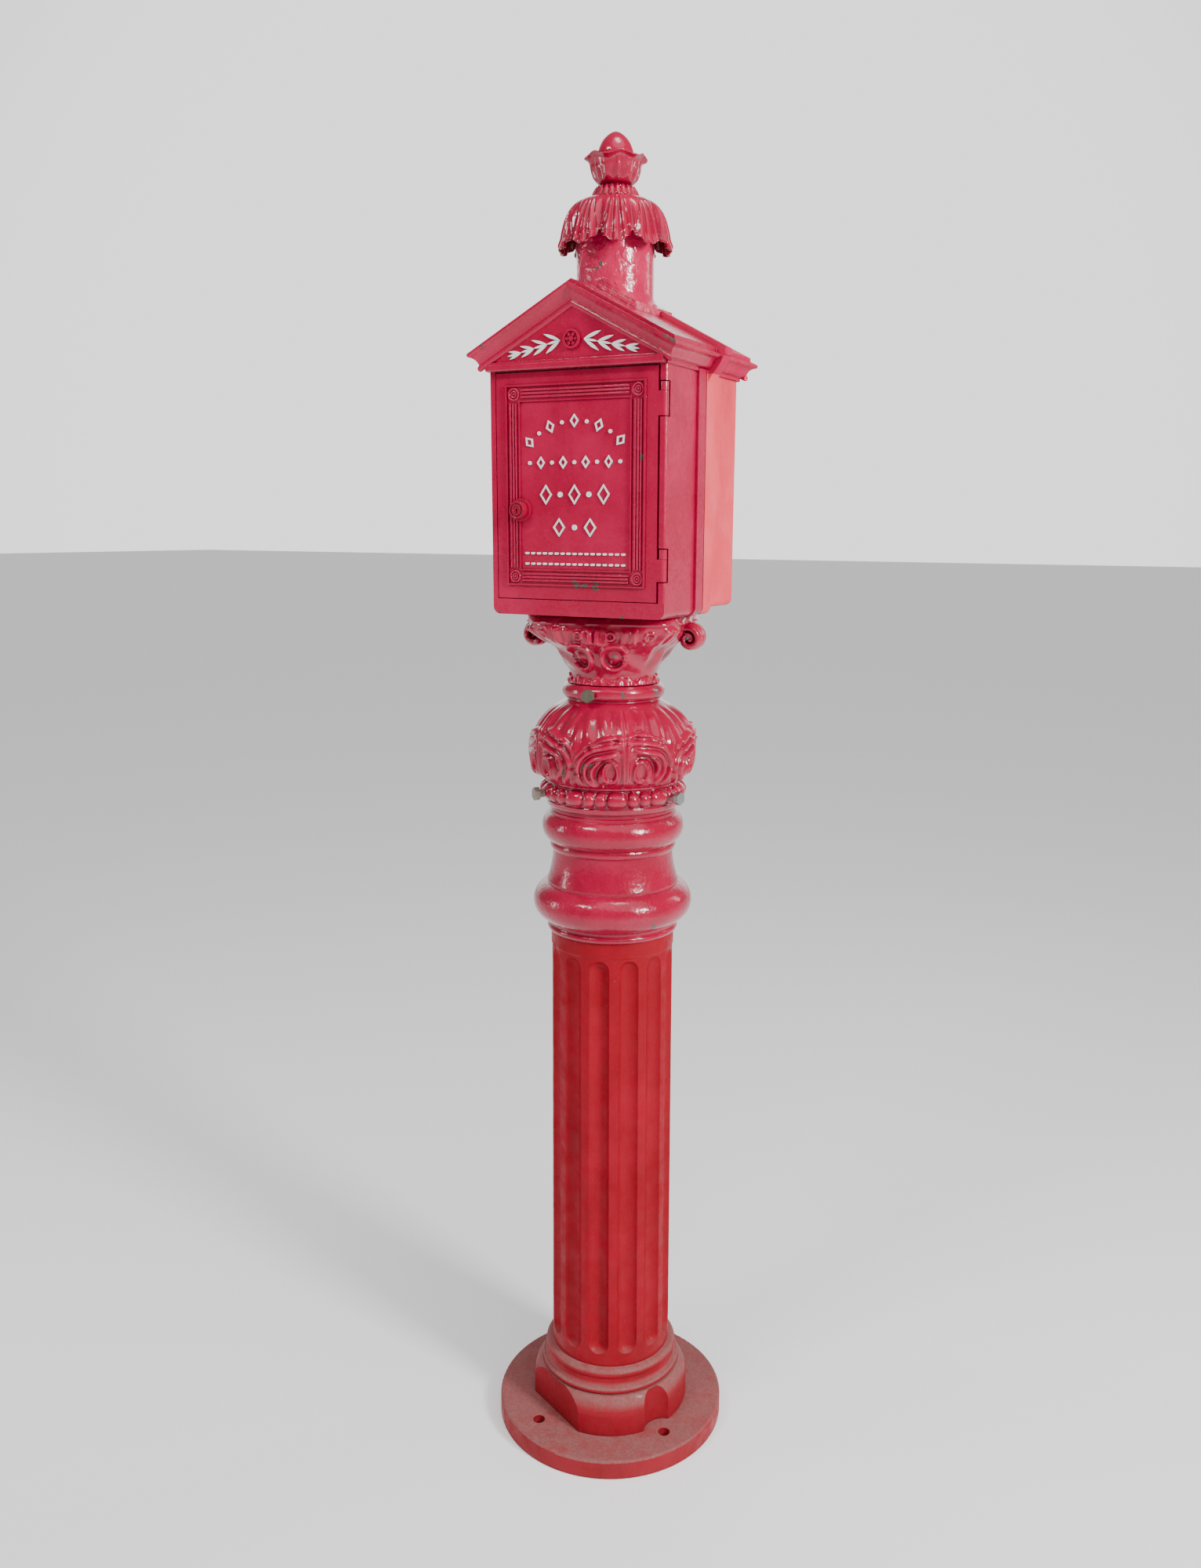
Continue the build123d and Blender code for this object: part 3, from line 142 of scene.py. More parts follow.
def enamel(
    name,
    colour,
    worn,
    gloss,
    coat,
    peel,
    chips=(),
    dust=0.0,
    dust_below=None,
    relief=False,
    rough_cast=0.0,
    soft_edge=0.8,
    above=None,
):
    """Brush-painted red enamel on cast iron: orange peel, faded patches, chips, dust.

    peel scales the depth of the orange peel, chips are bare spots, dust lies on faces that look
    up (below the height dust_below, if given), relief darkens the low parts of the mesh's own
    relief layer as painted shade and turns its raised parts to the worn colour, rough_cast is
    the depth of lumpy old paint in millimetres, soft_edge the radius of edges, above a (height,
    colour) from which another colour starts. The hollows are darkened as painted shade as well.
    """
    f = Finish(name)

    def shade(colour, factor):
        return tuple(channel * factor for channel in colour)

    clouds = f.noise(9.0, 5.0, 0.6)
    streaks = f.noise(5.0, 4.0, 0.6, stretch=(3.0, 3.0, 0.7))
    fine = f.noise(260.0, 3.0, 0.6)
    tone = f.mix(f.ramp(clouds, 0.35, 0.7), colour, worn)
    tone = f.mix(f.ramp(streaks, 0.52, 0.75, 0.0, 0.45), tone, shade(colour, 0.62))
    pale = tuple(min(1.0, channel * 1.25 + 0.01) for channel in worn)
    tone = f.mix(f.ramp(fine, 0.55, 0.75, 0.0, 0.35), tone, pale)
    if above:
        start, upper = above
        tone = f.mix(f.ramp(f.axis("Z"), start, start + 2 * MM), tone, upper)
    if relief:
        # painted shade: low parts of the relief layer are darkened; raised parts turn to the worn
        # colour
        height = f.node("ShaderNodeAttribute", attribute_name="relief").outputs["Fac"]
        tone = f.mix(f.ramp(height, 0.5, 0.05, 0.0, 0.6), tone, shade(colour, 0.32))
        tone = f.mix(f.ramp(height, 0.6, 1.0, 0.0, 0.5), tone, worn)
    # painted shade: the colour is darkened in the hollows that the ambient occlusion finds
    hollow = f.node("ShaderNodeAmbientOcclusion", {"Distance": 9 * MM}, samples=6).outputs["AO"]
    tone = f.mix(f.ramp(hollow, 0.82, 0.35, 0.0, 0.75), tone, shade(colour, 0.3))
    rough = f.ramp(f.noise(30.0, 5.0, 0.65), 0.3, 0.75, gloss * 0.75, gloss * 1.7)
    if dust:
        patchy = f.ramp(f.noise(28.0, 6.0, 0.7), 0.25, 0.6, 0.55, 1.0)
        settled = f.math("MULTIPLY", f.up(0.12, 0.6), patchy)
        if dust_below:
            low = f.ramp(f.axis("Z"), dust_below, dust_below * 0.8)
            settled = f.math("MULTIPLY", settled, low)
            splashed = f.ramp(f.axis("Z"), dust_below, 0.01, 0.0, 0.28)
            film = f.math("MULTIPLY", splashed, f.noise(60.0, 5.0, 0.7))
            settled = f.math("MAXIMUM", settled, film)
        settled = f.math("MULTIPLY", settled, dust)
        dirt = f.mix(f.noise(180.0, 4.0, 0.7), (0.16, 0.045, 0.042), (0.34, 0.13, 0.125))
        tone = f.mix(settled, tone, dirt)
        rough = f.math("MAXIMUM", rough, f.math("MULTIPLY", settled, 0.85))
    speckle = f.ramp(f.noise(95.0, 2.0, 0.5), 0.755, 0.785)
    scarce = f.ramp(f.noise(6.0, 2.0, 0.5), 0.5, 0.62)
    bare = f.math("MULTIPLY", speckle, scarce)
    if chips:
        bare = f.math("MAXIMUM", bare, f.spots(chips))
    iron = f.mix(f.noise(160.0, 4.0, 0.7), (0.035, 0.028, 0.024), (0.15, 0.12, 0.1))
    tone = f.mix(bare, tone, iron)
    rough = f.math("MAXIMUM", rough, f.math("MULTIPLY", bare, 0.75))
    f.set("Base Color", tone)
    f.set("Roughness", rough)
    f.set("Coat Weight", coat)
    f.set("Coat Roughness", 0.05)
    f.set("Specular IOR Level", 0.16)
    soft = f.soft_edges(soft_edge)
    waves = f.bump(f.noise(42.0, 3.0, 0.5), 0.9 * MM * peel, soft)
    pits = f.bump(f.noise(170.0, 4.0, 0.55), 0.55 * MM * peel, waves)
    grain = f.bump(f.noise(520.0, 3.0, 0.6), 0.12 * MM * peel, pits)
    if rough_cast:
        wrinkled = f.noise(62.0, 3.0, 0.5, 1.2)
        wrinkled = f.math("MULTIPLY", wrinkled, f.ramp(f.noise(8.0, 2.0), 0.42, 0.6, 0.35, 1.0))
        grain = f.bump(wrinkled, rough_cast * MM, grain)
    f.set("Normal", f.bump(bare, 0.5 * MM, grain))
    inner = f.bump(f.noise(46.0, 3.0, 0.5), 0.6 * MM * peel, soft)
    inner = f.bump(f.noise(150.0, 3.0, 0.5), 0.3 * MM * peel, inner)
    if rough_cast:
        inner = f.bump(wrinkled, 0.7 * rough_cast * MM, inner)
    f.set("Coat Normal", inner)
    return f.material


def metal(name, colour, stain, gloss, rust, rusty_below_x=None):
    """Bare machined metal with stains; optionally rusted brown on the low side of an X."""
    f = Finish(name)
    patches = f.ramp(f.noise(70.0, 5.0, 0.65), 0.62 - rust * 0.5, 0.85 - rust * 0.5)
    if rusty_below_x is not None:
        brown = f.ramp(f.axis("X"), rusty_below_x + 1 * MM, rusty_below_x - 1 * MM, 0.0, 0.8)
        patches = f.math("MAXIMUM", patches, brown)
    tone = f.mix(f.noise(240.0, 3.0, 0.6), colour, tuple(c * 0.72 for c in colour))
    f.set("Base Color", f.mix(patches, tone, stain))
    f.set("Metallic", f.ramp(patches, 0.0, 1.0, 1.0, 0.25))
    f.set("Roughness", f.ramp(f.noise(120.0, 4.0, 0.6), 0.3, 0.7, gloss * 0.8, gloss * 1.5))
    f.set("Normal", f.bump(f.noise(420.0, 4.0, 0.6), 0.15 * MM, f.soft_edges(0.5)))
    return f.material


def plain_finish(name, colour, second, rough, scale, depth, coat=0.0):
    """Non-metal surface with a mottled tone and a fine grain."""
    f = Finish(name)
    f.set("Base Color", f.mix(f.ramp(f.noise(scale, 5.0, 0.6), 0.3, 0.7), colour, second))
    f.set("Roughness", f.ramp(f.noise(scale * 2, 3.0, 0.6), 0.3, 0.7, rough * 0.85, rough * 1.15))
    f.set("Coat Weight", coat)
    f.set("Normal", f.bump(f.noise(scale * 3, 4.0, 0.6), depth * MM, f.soft_edges(0.6)))
    return f.material


CRIMSON = (0.37, 0.0, 0.034)
CRIMSON_WORN = (0.46, 0.003, 0.052)
# darker copy of the crimson and its worn colour: painted shade on the leafy castings and the
# column cap
SHADED_CRIMSON = (0.31, 0.0, 0.026)
SHADED_CRIMSON_WORN = (0.42, 0.002, 0.042)
ROSE = (0.76, 0.045, 0.075)
ROSE_WORN = (0.84, 0.085, 0.115)
POST_RED = (0.27, 0.0, 0.008)
POST_WORN = (0.33, 0.0, 0.014)
# pale pink worn colour for the chimney: faded paint, lightened further as a painted sheen
SHEEN_PINK = (0.62, 0.02, 0.09)

# chips in the paint, each (x, y, z, radius) in millimetres
CASE_CHIPS = (
    (172, -150, 1862, 7),
    (160, -151, 1868, 6),
    (-176, -153, 1857, 6),
    (-150, -152, 1869, 4),
    (-140, -127, 1467, 4),
    (60, -127, 1466, 4),
    (82, -127, 1466, 4),
    (154, -10, 1468, 6),
    (20, -128, 1831, 5),
)
DOOR_CHIPS = ((0, -129, 1513, 6), (16, -130, 1512, 5), (34, -129, 1513, 6), (112, -129, 1702, 5))
CAP_CHIPS = ((109, -66, 963, 7), (52, -118, 1009, 4))
LEAF_CHIPS = (
    (84, -9, 1341, 7),
    (51, -67, 1339, 6),
    (-62, -57, 1341, 6),
    (19, -136, 1233, 6),
    (28, -133, 1236, 5),
    (-2, -134, 1250, 5),
    (-21, -134, 1222, 5),
    (-22, -132, 1212, 4),
    (24, -118, 1290, 4),
    (45, -83, 1403, 4),
    (-14, -96, 1418, 3.5),
)
CHIMNEY_CHIPS = ((6, -60, 1990, 5), (-2, -60, 1984, 4))

# foot of the painted gable on the rear casting, top of the dusty foot, both in metres
GABLE_Z = 1.83
DUSTY_FOOT_Z = 0.19

box_paint = enamel(
    "box_enamel",
    CRIMSON,
    CRIMSON_WORN,
    gloss=0.2,
    coat=0.6,
    peel=1.3,
    chips=CASE_CHIPS,
    dust=0.05,
    soft_edge=0.5,
)
door_paint = enamel(
    "door_enamel",
    CRIMSON,
    CRIMSON_WORN,
    gloss=0.25,
    coat=0.5,
    peel=0.55,
    chips=DOOR_CHIPS,
    soft_edge=0.2,
)
rear_paint = enamel(
    "rear_enamel",
    ROSE,
    ROSE_WORN,
    gloss=0.5,
    coat=0.06,
    peel=0.7,
    dust=0.1,
    above=(GABLE_Z, CRIMSON_WORN),
)
post_paint = enamel(
    "post_enamel",
    POST_RED,
    POST_WORN,
    gloss=0.5,
    coat=0.05,
    peel=0.45,
    dust=1.0,
    dust_below=DUSTY_FOOT_Z,
)
cap_paint = enamel(
    "cap_enamel",
    SHADED_CRIMSON,
    SHADED_CRIMSON_WORN,
    gloss=0.2,
    coat=0.7,
    peel=1.3,
    chips=CAP_CHIPS,
    rough_cast=1.0,
)
leaf_paint = enamel(
    "leaf_enamel",
    SHADED_CRIMSON,
    SHADED_CRIMSON_WORN,
    gloss=0.16,
    coat=0.8,
    peel=1.0,
    chips=LEAF_CHIPS,
    relief=True,
)
# the chimney's paint is a step paler than the box's, with pale pink patches: partly faded paint,
# partly painted sheen
chimney_paint = enamel(
    "chimney_enamel",
    CRIMSON_WORN,
    SHEEN_PINK,
    gloss=0.18,
    coat=0.8,
    peel=1.3,
    chips=CHIMNEY_CHIPS,
    rough_cast=3.0,
)
white_paint = plain_finish(
    "white_enamel",
    (0.84, 0.83, 0.80),
    (0.70, 0.68, 0.66),
    rough=0.4,
    scale=150.0,
    depth=0.2,
    coat=0.2,
)
steel = metal("bare_steel", (0.43, 0.41, 0.38), (0.16, 0.10, 0.065), gloss=0.42, rust=0.35)
set_bolt_steel = metal(
    "set_bolt_steel",
    (0.50, 0.52, 0.52),
    (0.22, 0.16, 0.11),
    gloss=0.36,
    rust=0.25,
    rusty_below_x=0.0,
)
old_steel = metal(
    "weathered_steel", (0.26, 0.235, 0.19), (0.10, 0.085, 0.055), gloss=0.45, rust=0.6
)
brass = metal("aged_brass", (0.66, 0.47, 0.2), (0.24, 0.14, 0.06), gloss=0.33, rust=0.3)
rubber = plain_finish(
    "black_rubber",
    (0.02, 0.02, 0.02),
    (0.04, 0.04, 0.038),
    rough=0.75,
    scale=90.0,
    depth=0.1,
)
board = plain_finish(
    "insulating_board",
    (0.05, 0.035, 0.028),
    (0.09, 0.065, 0.05),
    rough=0.5,
    scale=60.0,
    depth=0.15,
)
porcelain = plain_finish(
    "glazed_porcelain",
    (0.80, 0.79, 0.74),
    (0.70, 0.68, 0.62),
    rough=0.14,
    scale=40.0,
    depth=0.03,
    coat=0.6,
)
fuse_glass = plain_finish(
    "fuse_glass",
    (0.62, 0.68, 0.66),
    (0.52, 0.60, 0.58),
    rough=0.08,
    scale=80.0,
    depth=0.01,
    coat=0.8,
)

CAD_FINISH = {
    box_paint: "front_case upper_hinge_leaf lower_hinge_leaf pediment_rosette",
    door_paint: "door",
    rear_paint: "rear_case",
    post_paint: "pedestal_column",
    chimney_paint: "chimney",
    white_paint: "door_marks pediment_sprays",
    steel: "case_bolts mounting_bolts mounting_nuts saddle_bolts finial_stud stud_nut "
    "upper_hinge_pin lower_hinge_pin hinge_screws lock_cam cam_nut strike_plate "
    "strike_screws board_screws ground_screw",
    set_bolt_steel: "sleeve_set_bolts",
    old_steel: "collar_set_bolts",
    brass: "lock_nut binding_posts binding_nuts fuse_clips ground_lug",
    rubber: "case_gasket door_gasket cable_bushing",
    board: "terminal_board board_spacers",
    porcelain: "fuse_blocks",
    fuse_glass: "fuses",
    cap_paint: "column_cap lock_body lock_plug",
}
for finish, names in CAD_FINISH.items():
    for name in names.split():
        mesh = nodes[name].data
        mesh.materials.clear()
        mesh.materials.append(finish)


# ---- mesh building -----------------------------------------------------------------------
def settle(name, points, faces, relief, body, stands_for=()):
    """A leafy casting from points in millimetres, which rides on a body."""
    mesh = bpy.data.meshes.new(name)
    mesh.from_pydata((points.reshape(-1, 3) * MM).tolist(), [], faces)
    # relief layer: its low values become painted shade in the leaf enamel, its high values the
    # worn colour
    layer = mesh.attributes.new("relief", "FLOAT", "POINT")
    layer.data.foreach_set("value", np.asarray(relief).reshape(-1).astype(np.float32))
    made = bpy.data.objects.new(name, mesh)
    bpy.context.scene.collection.objects.link(made)
    work = bmesh.new()
    work.from_mesh(mesh)
    bmesh.ops.recalc_face_normals(work, faces=work.faces)
    work.to_mesh(mesh)
    work.free()
    mesh.shade_smooth()
    mesh.materials.append(leaf_paint)
    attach(made, body)
    if stands_for:
        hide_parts(*stands_for)


def ring_body(name, rings, relief, body, stands_for):
    """A closed skin through rings of points; the last ring joins the first."""
    count, around = rings.shape[:2]
    index = np.arange(count * around).reshape(count, around)
    right, above = np.roll(index, -1, 1), np.roll(index, -1, 0)
    corner = np.roll(above, -1, 1)
    quads = np.stack([index, right, corner, above], -1).reshape(-1, 4)
    settle(name, rings, quads.tolist(), relief, body, stands_for)


def on_azimuths(azimuths, radius, z):
    """Points at a radius and height, each one number or an array, at every azimuth."""
    a = np.radians(azimuths)
    radius, z = np.broadcast_to(radius, a.shape), np.broadcast_to(z, a.shape)
    return np.stack([radius * np.sin(a), -radius * np.cos(a), z], -1)


def smooth_curve(points, count):
    """Catmull-Rom curve through points, resampled to count points."""
    p = np.array([points[0], *points, points[-1]], float)
    out = []
    spans = len(points) - 1
    for t in np.linspace(0, spans, count):
        i = min(int(t), spans - 1)
        u = t - i
        a, b, c, d = p[i : i + 4]
        out.append(
            0.5
            * (
                2 * b
                + (c - a) * u
                + (2 * a - 5 * b + 4 * c - d) * u**2
                + (3 * b - a - 3 * c + d) * u**3
            )
        )
    return out


def ease(value, low, high):
    """0 below low, 1 above high, smooth between; low may be above high."""
    t = np.clip((value - low) / (high - low), 0, 1)
    return t * t * (3 - 2 * t)


def wrap(angle, period):
    """Signed distance in degrees from the nearest multiple of period."""
    return (angle + period / 2) % period - period / 2


def ridge(distance, width):
    """Rounded ridge of height 1 at distance 0, gone at width."""
    return np.clip(1 - (distance / width) ** 2, 0, None) ** 1.5


# ---- neck sleeve: bead and reel, leaf bulb, collar ---------------------------------------
# millimetres; a TURN is the azimuth in degrees of the first unit
LEAF_UNITS = 5
LEAF_TURN = 36.0
BULB_FOOT_Z = 1192.0
BULB_R = 134.0
BEAD_GROUPS = 10
BEAD_TURN = 30.5
BEAD_Z = 1173.5
BEAD_R = 116.0
BEAD_HALF_HEIGHT = 14.5
BEAD_RISE = 7.9
BEAD_GROUND = -3.6


def bulb_relief(azimuth, z):
    """Height of the acanthus leaves over the bulb, about -5 to 8 mm."""
    signed = wrap(azimuth - LEAF_TURN, 360 / LEAF_UNITS)
    u = np.abs(signed)
    across = np.radians(u) * BULB_R
    up = z - BULB_FOOT_Z
    height = np.zeros_like(across)
    # stem with a groove, widening upwards into two folds that reach the collar
    stem_half = 7.5 + 9 * ease(up, 24, 120)
    height += 5.4 * ridge(across, stem_half) * ease(up, 0, 14) * ease(up, 133, 108)
    groove = ridge(across, 2.6 + 2.0 * ease(up, 60, 120))
    height -= 3.6 * groove * ease(up, 4, 20) * ease(up, 131, 112)
    # drop-shaped boss with a raised rim, hanging beside the stem
    boss = np.hypot((across - 25) / (0.62 + 0.004 * (40 - up)), up - 30)
    height += 4.6 * ridge(boss - 17, 5.0) - 1.4 * ease(boss, 14, 9)
    # ribbed lobes that arch over the boss, with lobed ends
    dx, dz = across - 25, up - 27 - 4 * np.tanh(signed / 8)
    around = np.degrees(np.arctan2(dz, dx))
    away = np.hypot(dx * 0.97, dz * 0.94)
    lobes = 5.0 * np.abs(np.sin(np.radians(around * 2.4 + 24)))
    inside = ease(around, -60, -28) * ease(around, 122, 96)
    leafy = ease(away, 24, 29) * ease(away, 59 + lobes, 53 + lobes) * inside
    height += 4.4 * leafy
    sway = 4.0 * np.sin(np.radians(around * 3.2 + 30)) + 2.0 * np.sin(np.radians(azimuth * 7))
    ribs = np.cos((away - 35 - sway) * tau / 12.5)
    height += 3.3 * np.sign(ribs) * np.abs(ribs) ** 0.75 * leafy
    notch = ridge(wrap(around - 6, 46), 6.5) * ease(away, 40, 56)
    height -= 3.4 * notch * leafy
    height += 2.0 * ridge(away - 29, 5.0) * inside
    height -= 3.4 * ridge(away - 22.5, 5.2) * inside * ease(around, -58, 10)
    # little leaf in the hollow of the lobes, and a fold between two units
    sprig = np.hypot((dx - 15) * 0.8, (dz + 5) * 0.5)
    height += 3.6 * ridge(sprig, 8.5)
    height += 2.6 * ridge(across - 84, 10) * ease(up, 6, 40) * ease(up, 124, 84)
    # long leaf folds over the shoulder, drawn together towards the collar
    folds = np.cos(np.radians((u - 14 - 0.09 * (up - 90)) * 27))
    height += 1.8 * folds * ease(u, 6, 11) * ease(up, 66, 92) * ease(up, 131, 114)
    return height * ease(up, -1, 8) * ease(up, 134, 120)


def bead_relief(azimuth, z):
    """Long bead, two round beads, repeated; measured from the plain ring."""
    arc = np.radians(wrap(azimuth - BEAD_TURN, 360 / BEAD_GROUPS)) * BEAD_R
    height = np.full_like(arc, BEAD_GROUND)
    for centre, half, bluntness in ((0.0, 16.6, 3.2), (-26.6, 9.8, 2), (26.6, 9.8, 2)):
        along = (np.abs(arc - centre) / half) ** bluntness
        upright = ((z - BEAD_Z) / BEAD_HALF_HEIGHT) ** 2
        bead = np.clip(1 - along - upright, 0, None) ** 0.5
        height = np.maximum(height, BEAD_GROUND + BEAD_RISE * bead)
    return height * ease(z, 1156, 1160) * ease(z, 1191, 1187)


def neck_sleeve():
    azimuths = np.arange(0, 360, 0.72)
    foot = [(96.1, 1147.3), (108, 1147.3), (110.6, 1149), (111.6, 1153)]
    ring = [(112, 1156), (115, 1161), (118, 1167), (118.8, 1173)]
    ring += [(117.8, 1180), (115, 1187), (114, 1191)]
    bulb = [(119, 1196), (129.5, 1210), (133.5, 1238), (130.5, 1271), (109.5, 1302), (77.5, 1325)]
    collar = [(77.2, 1327.4), (82.6, 1330.5), (84.8, 1338.5), (83, 1346), (77.5, 1351)]
    outer = foot + smooth_curve(ring, 42) + [(115.2, 1194)]
    outer += smooth_curve(bulb, 96) + smooth_curve(collar, 12)
    outer += [(76, 1351.4), (60.1, 1351.4)]
    inner = [(60.1, 1312), (72, 1300), (106, 1275), (120, 1240)]
    inner += [(112, 1210), (98, 1194), (96.1, 1187.5)]
    profile = np.array([tuple(p) for p in outer + inner])
    a = np.broadcast_to(azimuths, (len(profile), len(azimuths)))
    z = np.broadcast_to(profile[:, 1:], a.shape)
    shown = (np.arange(len(profile)) < len(outer)).astype(float)[:, None]
    on_bulb = ((z > 1193) & (z < 1326)) * shown
    on_beads = ((z > 1155) & (z < 1192)) * shown
    leaves = bulb_relief(a, z) * on_bulb
    beads = bead_relief(a, z) * on_beads
    # relief layer: sunken leaves and the ground between the beads get painted shade, raised ones
    # the worn colour
    worn = 0.45 + np.clip(leaves / 14, -0.45, 0.55)
    worn += np.clip((beads + 0.6) / 11, -0.4, 0.4) * on_beads
    rings = on_azimuths(a, profile[:, :1] + (leaves + beads), z)
    ring_body("leaf_neck_sleeve", rings, worn, "sleeve", ["neck_sleeve"])


neck_sleeve()


# ---- capital -----------------------------------------------------------------------------
CAPITAL_TURN = 10.0
# height of the scroll rings on the bell
RING_Z = 1397.5
# rounded rectangles: half width, half depth, corner radius
BELL_TOP = (129, 103, 56)
RIM = ((1451.5, (126, 101, 52)), (1453.5, (126, 101, 50)))
PLATE = (126, 99, 44)
CORE = (108, 82, 42)
# centre of the rolled leaf at each end
SCROLL_REACH = 131.0
SCROLL_Z = 1426.5


def rounded_rectangle(azimuth, half_x, half_y, corner):
    """Radius of a rounded rectangle's outline at each azimuth."""
    a = np.radians(azimuth)
    dx, dy = np.abs(np.sin(a)), np.abs(np.cos(a))
    flat = np.minimum(half_x / np.maximum(dx, 1e-9), half_y / np.maximum(dy, 1e-9))
    cx, cy = half_x - corner, half_y - corner
    along = dx * cx + dy * cy
    root = along**2 - cx**2 - cy**2 + corner**2
    arc = along + np.sqrt(np.maximum(root, 0))
    x, y = flat * dx, flat * dy
    return np.where((x > cx) & (y > cy), arc, flat)


def capital_relief(azimuth, z):
    """Scroll rings low on the bell and curling leaves above them."""
    turned = azimuth - CAPITAL_TURN
    height = np.zeros_like(turned)
    for face in (0.0, 180.0):
        u = wrap(turned - face, 360)
        for eye, way in ((-18.5, -1), (17.5, 1)):
            dx, dz = np.radians(u - eye) * 90, z - RING_Z
            away = np.hypot(dx, dz)
            around = np.degrees(np.arctan2(dz, -dx * way))
            opening = ease(np.abs(wrap(around - 180, 360)), 18, 34)
            height += 7.0 * ridge(away - 19.5, 5.6) * opening
            height -= 2.4 * ridge(away - 12, 4.4)
            height += 4.5 * ridge(np.hypot(dx - way * 16, dz + 2), 6.0)
            height += 3.8 * ridge(away, 8.0)
        upper = ease(z, 1411, 1424) * ease(np.abs(z - 1431), 19, 8)
        leaf = np.abs(wrap(u, 29)) * 1.7
        height += 5.0 * ridge(leaf - 6 + 0.1 * (z - 1425), 7.5) * upper
        curl = np.hypot(wrap(u - 14.5, 29) * 1.75, z - 1433)
        height += 4.2 * ridge(curl - 6, 4) * ease(np.abs(u), 64, 52)
    # upright leaves at the ends, fine folds all over
    side = 90 - np.abs(np.abs(wrap(turned, 360)) - 90)
    ends = ease(side, 44, 60) * ease(z, 1374, 1400) * ease(z, 1447, 1436)
    height += 3.2 * np.cos(np.radians(side) * 14) * ends
    folds = np.sin(np.radians(turned * 9) + z * 0.16)
    height += 1.5 * folds * ease(z, 1370, 1385) * ease(z, 1447, 1440)
    # ragged leafy rim round the foot
    foot = ease(z, 1351, 1353)
    rim = 1362.5 + 3.6 * np.sin(np.radians(azimuth * 11))
    rim = rim + 1.8 * np.sin(np.radians(azimuth * 23 + 40))
    height += 3.4 * ease(z, rim + 1.3, rim - 1.3) * foot
    height += 0.9 * np.sin(np.radians(azimuth * 34)) * ease(z, 1362, 1358) * foot
    return height


def capital():
    azimuths = np.arange(0, 360, 0.5)
    turned = azimuths - CAPITAL_TURN
    rows, heights = [], []

    def outline(size):
        return rounded_rectangle(turned, *size)

    def row(z, radius, relief=0.0):
        rows.append(on_azimuths(azimuths, radius + relief, z))
        # relief layer: sunken relief gets painted shade, raised relief the worn colour
        heights.append(np.broadcast_to(0.45 + np.clip(relief / 10, -0.4, 0.5), azimuths.shape))

    def bell(z):
        low, mid = 69.0 + 3.6 * ease(z, 1367, 1352), 101.0
        belly = low + (mid - low) * (np.clip((z - 1362) / 56, 0, 1) ** 1.15)
        share = ease(z, 1404, 1448) * 0.9
        return belly + (outline(BELL_TOP) - belly) * share

    row(1316, 45.0)
    row(1316, 60.0)
    row(1351.6, 60.0)
    for z in np.concatenate([np.arange(1351.7, 1368, 0.9), np.arange(1368, 1450.6, 1.1)]):
        row(z, bell(z), capital_relief(azimuths, np.full_like(azimuths, z)))
    waves = 1.6 * np.abs(np.sin(np.radians(azimuths * 8)))
    waves = waves + 0.6 * np.sin(np.radians(azimuths * 19))
    for z, size in RIM:
        row(z, outline(size) + waves, waves)
    row(1455.5, outline(PLATE))
    row(1465, outline(PLATE))
    # hollow inside
    row(1465, 48.0)
    row(1457, 48.0)
    row(1456, outline(CORE))
    row(1420, 84.0)
    row(1372, 62.0)
    row(1372, 45.0)
    ring_body("leaf_capital", np.array(rows), np.array(heights), "head", ["capital"])


def volute(name, side, knobbly):
    """Rolled leaf at one end of the capital: a thick strip wound in a spiral."""
    steps, across, lead_in = 110, 18, 0.16
    rows, worn = [], []
    for i in range(steps + 1):
        t = max(0.0, (i / steps - lead_in) / (1 - lead_in))
        turn = radians(96 - 610 * t)
        reach = 19.2 - 17.2 * t**0.85
        thick = 11.4 - 4.2 * t
        out = Vector((cos(turn), sin(turn)))
        lead = Vector((SCROLL_REACH, SCROLL_Z)) + out * reach
        if i < lead_in * steps:
            # over the shoulder of the bell
            u = 1 - i / (lead_in * steps)
            lead += Vector((-38 * u, -13 * u * u))
            out = Vector((-0.45 * u, 1.0)).normalized()
        waviness = 1.8 * sin(t * 40) if knobbly else 0.7 * sin(t * 24)
        half = 23 - 3.5 * ease(t, 0.25, 1.0) + waviness
        for top in (True, False):
            for v in np.linspace(-1, 1, across)[:: 1 if top else -1]:
                crown = 1 - 0.3 * abs(v) ** 3
                lift = thick / 2 * crown * (1 if top else -1)
                flute = cos(v * pi * 3) if top else 0
                depth = 1.76 if knobbly else 1.1
                point = lead + out * (lift + depth * flute - 1.3 * v * v)
                rows.append((side * point.x, v * half, point.y))
                # relief layer: the strip's underside and its flute grooves get painted shade, the
                # flute crowns the worn colour
                worn.append(0.55 + 0.25 * flute if top else 0.25)
    turn = Matrix.Rotation(radians(CAPITAL_TURN), 3, "Z")
    points = np.array(rows) @ np.array(turn).T
    # a closed strip, then a cap at either end of it
    count, around = steps + 1, across * 2
    index = np.arange(count * around).reshape(count, around)
    strip, right = index[:-1], np.roll(index, -1, 1)
    faces = np.stack([strip, right[:-1], right[1:], index[1:]], -1).reshape(-1, 4)
    ends = index[[0, -1]]
    low, high = ends[:, :across], ends[:, : across - 1 : -1]
    caps = np.stack([low[:, :-1], low[:, 1:], high[:, 1:], high[:, :-1]], -1).reshape(-1, 4)
    settle(name, points, np.concatenate([faces, caps]).tolist(), worn, "head")


capital()
volute("right_volute", 1, False)
volute("left_volute", -1, True)


# ---- leaf skirt and finial ---------------------------------------------------------------
PETALS = 10
PETAL_TURN = 28.0
# pleats from edge to edge of a petal
PLEATS = 3.5
HEM_Z = 2015.0
HEM_THICK = 4.6
# lip of the finial's cup and the top of the whole object
LIP_Z = 2147.0
TOP_Z = 2187.0


